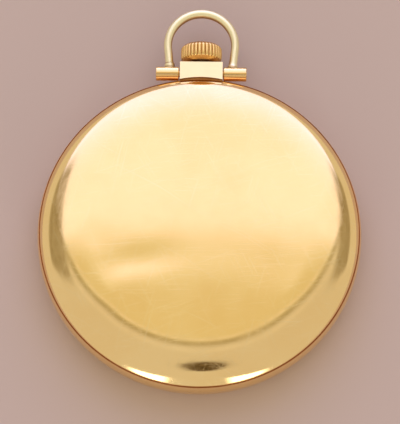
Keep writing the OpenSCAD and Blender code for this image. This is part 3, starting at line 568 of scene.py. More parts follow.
@dataclass(frozen=True)
class PolishedSteel:
    """Bright steel, polished or grained, plain or heat-blued.

    Attributes:
        name: The material's name.
        colour: The metal's reflectance.
        tint: The colour that the patches drift to.
        roughness: Roughness of the clean polish.
        grain: Strength of the fine straight grain.
    """

    name: str
    colour: Colour = (0.62, 0.63, 0.65)
    tint: Colour = (0.56, 0.565, 0.575)
    roughness: float = 0.16
    grain: float = 0.3

    def build(self) -> bpy.types.Material:
        """Makes the material.

        Returns:
            The finished material.
        """
        material, graph, shader, place = new_material(self.name)
        patch = graph.ramp(graph.noise(place, 500.0, 3.0), 0.35, 0.7)
        graph.feed(shader.inputs["Base Color"], graph.mix(patch, self.colour, self.tint))
        shader.inputs["Metallic"].default_value = 1.0
        lines = graph.noise(graph.placed(place, 0.8, (1500.0, 22000.0, 1500.0)), 1.0, 2.0)
        rough = graph.ramp(lines, 0.3, 0.8, (self.roughness, self.roughness + 0.12))
        graph.feed(shader.inputs["Roughness"], rough)
        graph.feed(shader.inputs["Normal"], graph.bump(lines, self.grain, 1e-5))
        return material


@dataclass(frozen=True)
class Ruby:
    """Clear red synthetic ruby.

    Attributes:
        name: The material's name.
        clear: Its colour where it is clear.
        cloudy: Its colour where it is cloudy.
    """

    name: str

    clear = (0.72, 0.02, 0.08)
    cloudy = (0.45, 0.0, 0.06)

    def build(self) -> bpy.types.Material:
        """Makes the material.

        Returns:
            The finished material.
        """
        material, graph, shader, place = new_material(self.name)
        cloud = graph.ramp(graph.noise(place, 1800.0, 2.0), 0.3, 0.7)
        graph.feed(shader.inputs["Base Color"], graph.mix(cloud, self.clear, self.cloudy))
        shader.inputs["Roughness"].default_value = 0.05
        shader.inputs["IOR"].default_value = 1.76
        shader.inputs["Transmission Weight"].default_value = 0.35
        shader.inputs["Coat Weight"].default_value = 0.6
        return material


@dataclass(frozen=True)
class SilveredDial:
    """Matte silvered dial with a fine grain and concentric rings in the small dial.

    Attributes:
        name: The material's name.
        seconds: Centre of the small seconds dial, in millimetres.
        seconds_r: Its radius in millimetres.
    """

    name: str
    seconds: Point
    seconds_r: float

    def build(self) -> bpy.types.Material:
        """Makes the material.

        Returns:
            The finished material.
        """
        material, graph, shader, place = new_material(self.name)
        grain = graph.noise(place, 12000.0, 2.0)
        patch = graph.ramp(graph.noise(place, 160.0, 3.0), 0.3, 0.75)
        colour = graph.mix(patch, (0.86, 0.83, 0.75), (0.78, 0.74, 0.64))
        graph.feed(shader.inputs["Base Color"], colour)
        shader.inputs["Metallic"].default_value = 0.55
        graph.feed(shader.inputs["Roughness"], graph.ramp(grain, 0.3, 0.7, (0.38, 0.5)))
        centred = graph.placed(place, 0.0, (1, 1, 0), (self.seconds[0] * MM, self.seconds[1] * MM, 0))
        away = graph.length(centred)
        ring = graph.math("SINE", graph.math("MULTIPLY", away, 30000.0))
        inside = graph.ramp(away, self.seconds_r * MM, self.seconds_r * MM * 0.98)
        height = graph.math("MULTIPLY_ADD", ring, graph.math("MULTIPLY", inside, 0.5), grain)
        graph.feed(shader.inputs["Normal"], graph.bump(height, 0.25, 2e-5))
        return material


@dataclass(frozen=True)
class ClearCrystal:
    """Clear crystal with a few hairline scratches.

    Attributes:
        name: The material's name.
    """

    name: str

    def build(self) -> bpy.types.Material:
        """Makes the material.

        Returns:
            The finished material.
        """
        material, graph, shader, place = new_material(self.name)
        lines = graph.placed(place, 1.1, (60.0, 6000.0, 1.0))
        hair = graph.ramp(graph.noise(lines, 1.0, 0.0), 0.72, 0.78)
        graph.feed(shader.inputs["Base Color"], graph.mix(hair, (0.97, 0.99, 0.99), (0.9, 0.92, 0.93)))
        graph.feed(shader.inputs["Roughness"], graph.math("MULTIPLY_ADD", hair, 0.2, 0.01))
        shader.inputs["Transmission Weight"].default_value = 1.0
        shader.inputs["IOR"].default_value = 1.5
        return material


@dataclass(frozen=True)
class PrintedInk:
    """Dark dial printing with a slightly uneven edge of gloss.

    Attributes:
        name: The material's name.
    """

    name: str

    def build(self) -> bpy.types.Material:
        """Makes the material.

        Returns:
            The finished material.
        """
        material, graph, shader, place = new_material(self.name)
        uneven = graph.noise(place, 5000.0, 2.0)
        ink = graph.mix(uneven, (0.02, 0.02, 0.025), (0.05, 0.045, 0.04))
        graph.feed(shader.inputs["Base Color"], ink)
        graph.feed(shader.inputs["Roughness"], graph.ramp(uneven, 0.3, 0.7, (0.35, 0.55)))
        return material


@dataclass(frozen=True)
class PaleFloor:
    """Plain pale paper with the faintest unevenness.

    Attributes:
        name: The material's name.
        colour: Its main colour.
    """

    name: str
    colour: Colour = (0.60, 0.475, 0.42)

    def build(self) -> bpy.types.Material:
        """Makes the material.

        Returns:
            The finished material.
        """
        material, graph, shader, place = new_material(self.name)
        cloud = graph.ramp(graph.noise(place, 9.0, 3.0), 0.3, 0.7, (0.0, 0.25))
        graph.feed(shader.inputs["Base Color"], graph.mix(cloud, self.colour, (0.56, 0.44, 0.385)))
        shader.inputs["Roughness"].default_value = 0.85
        return material


# ---------------------------------------------------------------- meshes


def arc(centre: Point, radius: float, start: float, end: float, steps: int) -> list[Point]:
    """Gives points on an arc.

    Args:
        centre: The arc's centre.
        radius: Its radius.
        start: First angle in degrees.
        end: Last angle in degrees.
        steps: Number of stretches.

    Returns:
        The points, both ends included.
    """
    turns = [math.radians(start + (end - start) * i / steps) for i in range(steps + 1)]
    return [(centre[0] + radius * math.cos(t), centre[1] + radius * math.sin(t)) for t in turns]


def step_down(value: float, full: float, none: float) -> float:
    """Falls smoothly from 1 to 0 between two values.

    Args:
        value: The value to test.
        full: Where the result is 1.
        none: Where the result is 0.

    Returns:
        The share from 0 to 1.
    """
    share = min(1.0, max(0.0, (value - none) / (full - none)))
    return share * share * (3.0 - 2.0 * share)


def hump(value: float, middle: float, width: float) -> float:
    """Rises smoothly to 1 in the middle and falls to 0 on both sides.

    Args:
        value: The value to test.
        middle: Where the result is 1.
        width: How far from there it has fallen to about a third.

    Returns:
        The share from 0 to 1.
    """
    return math.exp(-((value - middle) / width) ** 2)


def add_object(name: str, mesh: bpy.types.Mesh) -> bpy.types.Object:
    """Links a mesh to the scene as an object at the origin.

    Args:
        name: The object's name.
        mesh: Its mesh.

    Returns:
        The new object.
    """
    obj = bpy.data.objects.new(name, mesh)
    bpy.context.scene.collection.objects.link(obj)
    return obj


def finish_mesh(name: str, bm: bmesh.types.BMesh, smooth: bool = True) -> bpy.types.Object:
    """Turns a bmesh in millimetres into an object in metres with outward faces.

    Args:
        name: The object's name.
        bm: The mesh, which is freed.
        smooth: Whether faces shade smoothly.

    Returns:
        The new object.
    """
    bmesh.ops.remove_doubles(bm, verts=bm.verts, dist=1e-5)
    bmesh.ops.recalc_face_normals(bm, faces=bm.faces)
    for face in bm.faces:
        face.smooth = smooth
    bm.transform(Matrix.Scale(MM, 4))
    mesh = bpy.data.meshes.new(name)
    bm.to_mesh(mesh)
    bm.free()
    return add_object(name, mesh)


def lathe(profile: Sequence[Point], segments: int) -> bmesh.types.BMesh:
    """Turns a closed outline about Z.

    Args:
        profile: Radius and height of each point, in order round the outline.
        segments: Number of steps round the axis.

    Returns:
        The solid as a bmesh in millimetres.
    """
    bm = bmesh.new()
    rings = []
    for radius, height in profile:
        if radius < 1e-6:
            rings.append([bm.verts.new((0.0, 0.0, height))] * segments)
            continue
        turns = [2 * math.pi * i / segments for i in range(segments)]
        rings.append([bm.verts.new((radius * math.cos(t), radius * math.sin(t), height))
                      for t in turns])
    for first, second in zip(rings, rings[1:] + rings[:1]):
        for i in range(segments):
            j = (i + 1) % segments
            corners = list(dict.fromkeys((first[i], first[j], second[j], second[i])))
            if len(corners) > 2:
                bm.faces.new(corners)
    return bm


def modified(obj: bpy.types.Object, kind: str, settings: dict[str, object]) -> bpy.types.Object:
    """Runs one modifier and keeps its result as a plain mesh.

    Args:
        obj: The object to change.
        kind: The modifier's type.
        settings: Its properties.

    Returns:
        The same object.
    """
    modifier = obj.modifiers.new(kind.title(), kind)
    for key, value in settings.items():
        setattr(modifier, key, value)
    bpy.context.view_layer.update()
    evaluated = obj.evaluated_get(bpy.context.evaluated_depsgraph_get())
    mesh = bpy.data.meshes.new_from_object(evaluated)
    obj.modifiers.clear()
    obj.data = mesh
    return obj


def bevelled(obj: bpy.types.Object, width: float, segments: int, angle: float) -> bpy.types.Object:
    """Rounds an object's sharp edges.

    Args:
        obj: The object.
        width: Width of the rounding in millimetres.
        segments: Number of steps across it.
        angle: Edges sharper than this are rounded, in degrees.

    Returns:
        The same object.
    """
    return modified(obj, "BEVEL", {
        "width": width * MM, "segments": segments, "limit_method": "ANGLE",
        "angle_limit": math.radians(angle), "use_clamp_overlap": True,
    })


def stained_and_shaded(obj: bpy.types.Object, rule: Callable[[Vector, Vector], float]) -> bpy.types.Object:
    """Stores how much darker tone each corner of a piece carries: dirt in the case's seams, painted
    shade elsewhere.

    Args:
        obj: The piece.
        rule: Gives the darkening from 0 to 1 for a place in millimetres and a normal.

    Returns:
        The same object.
    """
    mesh = obj.data
    values = [min(1.0, max(0.0, rule(vert.co / MM, vert.normal))) for vert in mesh.vertices]
    store = mesh.attributes.new("patina_and_shade", "FLOAT", "POINT")
    store.data.foreach_set("value", values)
    return obj


def evened(obj: bpy.types.Object) -> bpy.types.Object:
    """Keeps flat faces flat in the shading, with the bevels round."""
    return modified(obj, "WEIGHTED_NORMAL", {"keep_sharp": True, "weight": 100})


def bored(obj: bpy.types.Object, start: Vector, end: Vector, radius: float) -> bpy.types.Object:
    """Cuts a round hole.

    Args:
        obj: The object to cut.
        start: Where the hole starts, in millimetres.
        end: Where it ends.
        radius: Its radius.

    Returns:
        The same object.
    """
    bm = bmesh.new()
    depth = (end - start).length
    bmesh.ops.create_cone(bm, cap_ends=True, segments=48, radius1=radius, radius2=radius,
                          depth=depth)
    turn = (end - start).to_track_quat("Z", "Y").to_matrix().to_4x4()
    bm.transform(Matrix.Translation((start + end) / 2) @ turn)
    tool = finish_mesh("hole", bm, smooth=False)
    modified(obj, "BOOLEAN", {"object": tool, "operation": "DIFFERENCE", "solver": "EXACT"})
    bpy.data.objects.remove(tool)
    return obj


def placed_piece(obj: bpy.types.Object, material: bpy.types.Material, body: Body, slot: Slot,
                 *nodes: str) -> bpy.types.Object:
    """Dresses a finished piece and gives it to a body.

    Args:
        obj: The piece.
        material: Its finish.
        body: The body it rides on.
        slot: The record's slot for its finish. Not used.
        *nodes: CAD nodes that it stands for.

    Returns:
        The same object.
    """
    obj.data.materials.clear()
    obj.data.materials.append(material)
    if nodes:
        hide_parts(*nodes)
    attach(obj, body.value)
    LOG.info("%s rides on %s", obj.name, body.value)
    return obj


# ---------------------------------------------------------------- geometry nodes


class GeometryTree(Nodes):
    """A Geometry Nodes tree with named inputs that ends in realized, dressed geometry."""

    def __init__(self, name: str) -> None:
        """Starts an empty tree.

        Args:
            name: The tree's name.
        """
        super().__init__(bpy.data.node_groups.new(name, "GeometryNodeTree"))
        self.tree.interface.new_socket("Geometry", in_out="OUTPUT", socket_type="NodeSocketGeometry")
        self.source = self.tree.nodes.new("NodeGroupInput")
        self.ids: dict[str, str] = {}

    def input(self, name: str, kind: str) -> Socket:
        """Adds a named input.

        Args:
            name: The input's name.
            kind: "Float", "Int", "Object" or "Material".

        Returns:
            Its socket inside the tree.
        """
        item = self.tree.interface.new_socket(name, in_out="INPUT", socket_type="NodeSocket" + kind)
        self.ids[name] = item.identifier
        return self.source.outputs[name]

    def close(self, geometry: Socket, material: Socket) -> None:
        """Ends the tree in Realize Instances and Set Material.

        Args:
            geometry: The tree's result so far.
            material: The finish.
        """
        real = self.add("GeometryNodeRealizeInstances", Geometry=geometry)
        dressed = self.add("GeometryNodeSetMaterial", Geometry=real.outputs["Geometry"],
                           Material=material)
        output = self.tree.nodes.new("NodeGroupOutput")
        self.tree.links.new(dressed.outputs["Geometry"], output.inputs["Geometry"])

    def bake(self, name: str, values: dict[str, object]) -> bpy.types.Object:
        """Runs the tree on an empty host and keeps the result as a plain mesh.

        Args:
            name: The new object's name.
            values: A value for each named input.

        Returns:
            An object with the baked mesh.
        """
        host = add_object(name, bpy.data.meshes.new(name))
        modifier = host.modifiers.new("Tree", "NODES")
        modifier.node_group = self.tree
        for key, value in values.items():
            modifier[self.ids[key]] = value
        bpy.context.view_layer.update()
        evaluated = host.evaluated_get(bpy.context.evaluated_depsgraph_get())
        mesh = bpy.data.meshes.new_from_object(evaluated)
        host.modifiers.clear()
        host.data = mesh
        return host


def ring_tree() -> GeometryTree:
    """Makes the tree that sets copies of a piece round a circle.

    Returns:
        A tree with the inputs Piece, Count, Radius, Height, First turn and Finish.
    """
    tree = GeometryTree("ring_of_pieces")
    piece = tree.input("Piece", "Object")
    count = tree.input("Count", "Int")
    radius = tree.input("Radius", "Float")
    height = tree.input("Height", "Float")
    first = tree.input("First turn", "Float")
    finish = tree.input("Finish", "Material")
    index = tree.add("GeometryNodeInputIndex").outputs["Index"]
    step = tree.math("DIVIDE", 2 * math.pi, count)
    turn = tree.math("MULTIPLY_ADD", index, step, first)
    position = tree.add("ShaderNodeCombineXYZ", Z=height)
    tree.feed(position.inputs["X"], tree.math("MULTIPLY", tree.math("COSINE", turn), radius))
    tree.feed(position.inputs["Y"], tree.math("MULTIPLY", tree.math("SINE", turn), radius))
    rotation = tree.add("ShaderNodeCombineXYZ", Z=turn)
    points = tree.add("GeometryNodePoints", Count=count, Position=position.outputs["Vector"])
    info = tree.add("GeometryNodeObjectInfo", {"transform_space": "ORIGINAL"}, Object=piece)
    copies = tree.add("GeometryNodeInstanceOnPoints", Points=points.outputs[0],
                      Instance=info.outputs["Geometry"], Rotation=rotation.outputs["Vector"])
    tree.close(copies.outputs["Instances"], finish)
    return tree


def tube_tree() -> GeometryTree:
    """Makes the tree that sweeps a round section along a wire, with the wire's own radius.

    Returns:
        A tree with the inputs Path, Sides and Finish.
    """
    tree = GeometryTree("round_wire")
    path = tree.input("Path", "Object")
    sides = tree.input("Sides", "Int")
    finish = tree.input("Finish", "Material")
    info = tree.add("GeometryNodeObjectInfo", {"transform_space": "ORIGINAL"}, Object=path)
    section = tree.add("GeometryNodeCurvePrimitiveCircle", Resolution=sides, Radius=1.0)
    size = tree.add("GeometryNodeInputRadius").outputs["Radius"]
    swept = tree.add("GeometryNodeCurveToMesh", Curve=info.outputs["Geometry"],
                     Profile_Curve=section.outputs["Curve"], Fill_Caps=True)
    if "Scale" in swept.inputs:
        tree.feed(swept.inputs["Scale"], size)
    smooth = tree.add("GeometryNodeSetShadeSmooth", Geometry=swept.outputs["Mesh"])
    tree.close(smooth.outputs["Geometry"], finish)
    return tree


# ---------------------------------------------------------------- case back


@dataclass
class Dent:
    """A shallow dent in the case back.

    Attributes:
        x: Place across, in millimetres.
        y: Place up, in millimetres.
        long: Half length along its own axis.
        wide: Half width.
        turn: Direction of the axis in degrees.
        depth: Depth in millimetres.
    """

    x: float
    y: float
    long: float
    wide: float
    turn: float
    depth: float

    def at(self, x: float, y: float) -> float:
        """Gives the dent's depth at a place.

        Args:
            x: Place across, in millimetres.
            y: Place up, in millimetres.

        Returns:
            The depth in millimetres.
        """
        angle = math.radians(self.turn)
        dx, dy = x - self.x, y - self.y
        along = (dx * math.cos(angle) + dy * math.sin(angle)) / self.long
        across = (dy * math.cos(angle) - dx * math.sin(angle)) / self.wide
        return self.depth * math.exp(-(along * along + across * across))


@dataclass
class CaseBack:
    """The smooth press-fit case back: three arcs that meet tangentially, with shallow dents.

    Attributes:
        shoulder: Width of the curved shoulder.
        rim: Width of the steep rim.
        slopes: Slope at the centre field's edge, the shoulder's edge and the rim.
        wall: Wall thickness.
        lip_in: How far inside the cover's edge the lip sits.
        lip_t: Thickness of the lip.
        lip_h: Height of the lip.
        notch: Half width of the gap in the lip at the stem.
        fit: Gap between the lip and its groove.
        segments: Number of steps round the axis.
        outer_steps: Number of points on each outer arc.
        inner_steps: Number of points on each inner arc.
        dents: The dents.
        seam_edge: Rounding of the cover's lower edge.
        darkening: Heights above the seam where the dirt in it is full and where it ends.
    """

    shoulder: float = 5.3
    rim: float = 1.9
    slopes: tuple[float, float, float] = (4.0, 20.0, 55.0)
    wall: float = 0.55
    lip_in: float = 0.55
    lip_t: float = 0.45
    lip_h: float = 0.55
    notch: float = 1.1
    fit: float = 0.03
    segments: int = 256
    outer_steps = (56, 48, 24)
    inner_steps = (14, 14, 10)
    dents: list[Dent] = field(default_factory=lambda: [
        Dent(-8.1, -4.9, 5.4, 2.1, 8.0, 0.078),
        Dent(-13.6, -1.9, 3.2, 2.2, -35.0, 0.020),
        Dent(-11.5, -9.2, 3.4, 1.9, 50.0, -0.030),
        Dent(1.5, -4.0, 4.0, 2.6, 5.0, 0.009),
        Dent(9.5, -5.2, 6.0, 2.8, -14.0, 0.020),
        Dent(3.5, -10.5, 5.0, 2.8, 6.0, 0.012),
        Dent(12.5, -9.5, 3.2, 2.2, 48.0, -0.012),
        Dent(-1.0, 6.5, 7.5, 4.5, 25.0, 0.012),
        Dent(9.0, 9.0, 5.0, 3.5, -40.0, 0.010),
        Dent(-11.0, 9.0, 4.5, 3.0, 40.0, 0.010),
    ])
    seam_edge: float = 0.1
    darkening: Point = (0.12, 0.2)

    def __post_init__(self) -> None:
        """Reads the cover's radius and heights from the frame.

        The seam is where the lip starts.
        """
        low, high = box_mm("back_cover")
        self.radius = high.x
        self.top = high.z
        self.seam = low.z + self.lip_h

    def stretches(self, steps: Sequence[int], inset: float = 0.0) -> list[Point]:
        """Follows the three arcs from the centre to the rim.

        Args:
            steps: Number of points on each arc.
            inset: Distance to stay inside the outer face.

        Returns:
            Radius and height of each point.
        """
        edges = (0.0, self.radius - self.shoulder - self.rim, self.radius - self.rim, self.radius)
        slopes = (0.0, *self.slopes)
        points: list[Point] = []
        height = self.top
        for i in range(3):
            s0, s1 = math.radians(slopes[i]), math.radians(slopes[i + 1])
            bend = (edges[i + 1] - edges[i]) / (math.sin(s1) - math.sin(s0))
            for k in range(steps[i]):
                s = s0 + (s1 - s0) * k / steps[i]
                points.append((edges[i] + bend * (math.sin(s) - math.sin(s0)) - inset * math.sin(s),
                               height - bend * (math.cos(s0) - math.cos(s)) - inset * math.cos(s)))
            height -= bend * (math.cos(s0) - math.cos(s1))
        last = math.radians(slopes[3])
        points.append((self.radius - inset * math.sin(last), height - inset * math.cos(last)))
        return points

    def outline(self) -> list[Point]:
        """Follows the cover's section, with the lip that grips the band.

        Returns:
            Radius and height of each point of the closed outline.
        """
        outer = self.stretches(self.outer_steps)
        inner = self.stretches(self.inner_steps, self.wall)
        lip_out = self.radius - self.lip_in - self.fit
        lip_inner = self.radius - self.lip_in - self.lip_t
        edge = 0.05
        points = outer[:-1]
        points += arc((self.radius - self.seam_edge, self.seam + self.seam_edge), self.seam_edge,
                      20, -70, 6)
        points += [(self.radius - self.seam_edge, self.seam)]
        points += [(lip_out, self.seam), (lip_out, self.seam - self.lip_h + edge)]
        points += [(lip_out - edge, self.seam - self.lip_h), (lip_inner, self.seam - self.lip_h)]
        points += [p for p in reversed(inner) if p[0] < lip_inner and p[1] > self.seam]
        return points

    def build(self, gold: bpy.types.Material) -> None:
        """Makes the case back.

        Args:
            gold: Its finish.
        """
        bm = lathe(self.outline(), self.segments)
        for vert in bm.verts:
            x, y, z = vert.co
            if z > self.seam + self.darkening[1]:
                vert.co.z -= sum(dent.at(x, y) for dent in self.dents)
            elif y > 0 and abs(x) < self.notch:
                vert.co.z = max(z, self.seam)
        shell = sharpen(finish_mesh("case_back_shell", bm), 60.0)
        full, none = (self.seam + height for height in self.darkening)
        stained_and_shaded(shell, lambda at, normal: step_down(at.z, full, none))
        placed_piece(shell, gold, Body.BACK, Slot.GOLD, "back_cover")


# ---------------------------------------------------------------- case band, bezel and crystal


@dataclass
class CaseBand:
    """The bulging case band with the seats for the back and the bezel.

    Attributes:
        bulge: How far the band stands out past the case back.
        bore: Radius inside.
        ledge: Radius of the movement ledge.
        ledge_z: Height of the movement ledge.
        lip_in: How far inside the edge the lips of the back and bezel sit.
        lip_t: Thickness of those lips.
        lip_h: Height of those lips.
        fit: Gap beside a lip.
        room: Gap at the end of a lip.
        edge: Rounding of the edges at the seams.
        darkening: Distances from the seams where the dirt is full and where it ends.
        segments: Number of steps round the axis.
    """

    bulge: float = 0.3
    bore: float = 19.0
    ledge: float = 20.4
    ledge_z: float = 4.3
    lip_in: float = 0.55
    lip_t: float = 0.45
    lip_h: float = 0.55
    fit: float = 0.03
    room: float = 0.1
    edge: float = 0.1
    darkening = (0.1, 0.16, 0.06, 0.12)
    segments: int = 256

    def __post_init__(self) -> None:
        """Reads the band's box and the pendant sleeve's place from the frame.

        The sleeve runs along the stem's axis.
        """
        low, high = box_mm("mid_case")
        self.radius = high.x
        self.top = high.z
        self.bottom = low.z
        sleeve_low, sleeve_high = box_mm("pendant_sleeve")
        self.sleeve_r = (sleeve_high.x - sleeve_low.x) / 2
        self.stem_z = (sleeve_high.z + sleeve_low.z) / 2

    def face(self, steps: int) -> list[Point]:
        """Follows the bulging outer face from the lower seam to the upper one.

        Args:
            steps: Number of stretches.

        Returns:
            Radius and height of each point.
        """
        half = (self.top - self.bottom) / 2
        bend = (half ** 2 + self.bulge ** 2) / (2 * self.bulge)
        turn = math.degrees(math.asin(half / bend))
        return arc((self.radius - bend, self.bottom + half), bend, -turn, turn, steps)

    def outline(self) -> list[Point]:
        """Follows the band's section.

        Returns:
            Radius and height of each point of the closed outline.
        """
        seat = self.radius - self.bulge - self.lip_in
        groove = (seat - self.lip_t - self.fit, seat + self.fit)
        face = self.face(28)
        points = [(self.bore, self.bottom), (groove[0], self.bottom)]
        points += [(groove[0], self.bottom + self.lip_h + self.room)]
        points += [(groove[1], self.bottom + self.lip_h + self.room), (groove[1], self.bottom)]
        points += arc((face[0][0] - self.edge, self.bottom + self.edge), self.edge, -80, -10, 5)
        points += face[2:-2]
        points += arc((face[-1][0] - self.edge, self.top - self.edge), self.edge, 10, 80, 5)
        points += [(seat, self.top), (seat, self.top - self.lip_h - self.room)]
        points += [(self.ledge, self.top - self.lip_h - self.room), (self.ledge, self.ledge_z)]
        points += [(self.bore, self.ledge_z)]
        return points

    def build(self, gold: bpy.types.Material) -> None:
        """Makes the band.

        Args:
            gold: Its finish.
        """
        band = finish_mesh("case_band_ring", lathe(self.outline(), self.segments))
        start = Vector((0.0, self.bore - 2.0, self.stem_z))
        end = Vector((0.0, self.radius + 2.0, self.stem_z))
        bored(band, start, end, self.sleeve_r)
        sharpen(band)
        top_full, top_none, low_full, low_none = self.darkening
        stained_and_shaded(band, lambda at, normal: max(
            step_down(-at.z, -self.top + top_full, -self.top + top_none),
            step_down(at.z, self.bottom + low_full, self.bottom + low_none)))
        placed_piece(band, gold, Body.CASE, Slot.GOLD, "mid_case")


def sharpen(obj: bpy.types.Object, angle: float = 32.0) -> bpy.types.Object:
    """Keeps sharp edges crisp while the rest shades smoothly.

    Args:
        obj: The object.
        angle: Edges sharper than this stay crisp, in degrees.

    Returns:
        The same object.
    """
    mesh = obj.data
    mesh.polygons.foreach_set("use_smooth", [True] * len(mesh.polygons))
    mesh.set_sharp_from_angle(angle=math.radians(angle))
    return obj


@dataclass
class Bezel:
    """The rounded bezel that holds the crystal over the dial.

    Attributes:
        rounding: Radius of its outer corner.
        foot: Height of its lowest face.
        inner: Radius of its inner wall.
        dial_r: Radius of the step over the dial.
        inner_top: Height of the inner wall's upper end.
        lip_h: Height of the lip that goes into the band.
        lip_in: How far inside the edge the lip sits.
        lip_t: Thickness of the lip.
        chamfer: Size of the small bevels.
        segments: Number of steps round the axis.
    """

    rounding: float = 1.9
    foot: float = 0.2
    inner: float = 18.4
    dial_r: float = 18.73
    inner_top: float = 2.0
    lip_h: float = 0.55
    lip_in: float = 0.55
    lip_t: float = 0.45
    chamfer: float = 0.1
    segments: int = 256

    def build(self, gold: bpy.types.Material) -> None:
        """Makes the bezel.

        Args:
            gold: Its finish.
        """
        low, high = box_mm("bezel")
        radius = high.x
        seam = high.z - self.lip_h
        crystal_high = box_mm("crystal")[1]
        seat = radius - self.lip_in
        points = [(self.inner, self.inner_top), (self.inner, crystal_high.z)]
        points += [(crystal_high.x, crystal_high.z), (crystal_high.x, self.foot + self.chamfer)]
        points += [(crystal_high.x + self.chamfer, self.foot)]
        points += arc((radius - self.rounding, self.foot + self.rounding), self.rounding, -90, 0, 24)
        points += [(radius, seam - 0.06), (radius - 0.06, seam), (seat, seam), (seat, high.z)]
        points += [(seat - self.lip_t, high.z), (seat - self.lip_t, seam), (self.dial_r, seam)]
        points += [(self.dial_r, self.inner_top)]
        bezel = sharpen(finish_mesh("bezel_ring", lathe(points, self.segments)))
        placed_piece(bezel, gold, Body.CASE, Slot.GOLD, "bezel")


@dataclass
class Crystal:
    """The flat crystal with its rounded edge.

    Attributes:
        bevel: Rounding of its outer edge.
        segments: Number of steps round the axis.
    """

    bevel: float = 0.35
    segments: int = 192

    def build(self, glass: bpy.types.Material) -> None:
        """Makes the crystal.

        Args:
            glass: Its finish.
        """
        low, high = box_mm("crystal")
        radius = high.x
        points = [(0.0, low.z), (radius - self.bevel - 0.05, low.z)]
        points += arc((radius - self.bevel, low.z + self.bevel), self.bevel, -90, 0, 8)
        points += [(radius, high.z), (0.0, high.z)]
        crystal = sharpen(finish_mesh("crystal_disc", lathe(points, self.segments)), 50.0)
        placed_piece(crystal, glass, Body.CASE, Slot.CRYSTAL, "crystal")


@dataclass
class DialTrack:
    """A printed scale: fine ticks round a circle with a longer one every fifth.

    Attributes:
        name: The scale's name.
        centre: Its centre in millimetres.
        radius: Radius at the middle of the ticks.
        tick: Length of a fine tick.
        width: Width of a fine tick.
        face: Height of the dial face that it is printed on.
        marks: Number of fine ticks.
        stress: Every how many ticks a longer one stands.
        ink: Thickness of the printing.
        strong: How much longer and wider the longer ticks are.
    """

    name: str
    centre: Point
    radius: float
    tick: float
    width: float
    face: float
    marks: int = 60
    stress: int = 5
    ink: float = 0.012
    strong: Point = (1.6, 1.8)

    def mark(self, length: float, width: float) -> bpy.types.Object:
        """Makes one tick that points along X.

        Args:
            length: Its length in millimetres.
            width: Its width.

        Returns:
            The tick.
        """
        bm = bmesh.new()
        bmesh.ops.create_grid(bm, x_segments=2, y_segments=1, size=0.5)
        bmesh.ops.solidify(bm, geom=bm.faces[:], thickness=1.0)
        bm.transform(Matrix.Diagonal((length, width, self.ink, 1.0)))
        return finish_mesh(self.name + "_mark", bm, smooth=False)

    def build(self, ink: bpy.types.Material, ring: GeometryTree) -> None:
        """Makes the scale.

        Args:
            ink: Its finish.
            ring: The tree that sets copies round a circle.
        """
        rows = ((self.marks, self.tick, self.width, "_fine"),
                (self.marks // self.stress, self.tick * self.strong[0], self.width * self.strong[1],
                 "_strong"))
        for count, length, width, suffix in rows:
            tick = self.mark(length, width)
            values = {"Piece": tick, "Count": count, "Radius": self.radius * MM,
                      "Height": self.face * MM, "First turn": math.pi / 2, "Finish": ink}
            track = ring.bake(self.name + suffix, values)
            track.data.transform(Matrix.Translation(Vector((*self.centre, 0.0)) * MM))
            bpy.data.objects.remove(tick)
            placed_piece(track, ink, Body.CASE, Slot.DIAL)


# ---------------------------------------------------------------- pendant, bow and crown


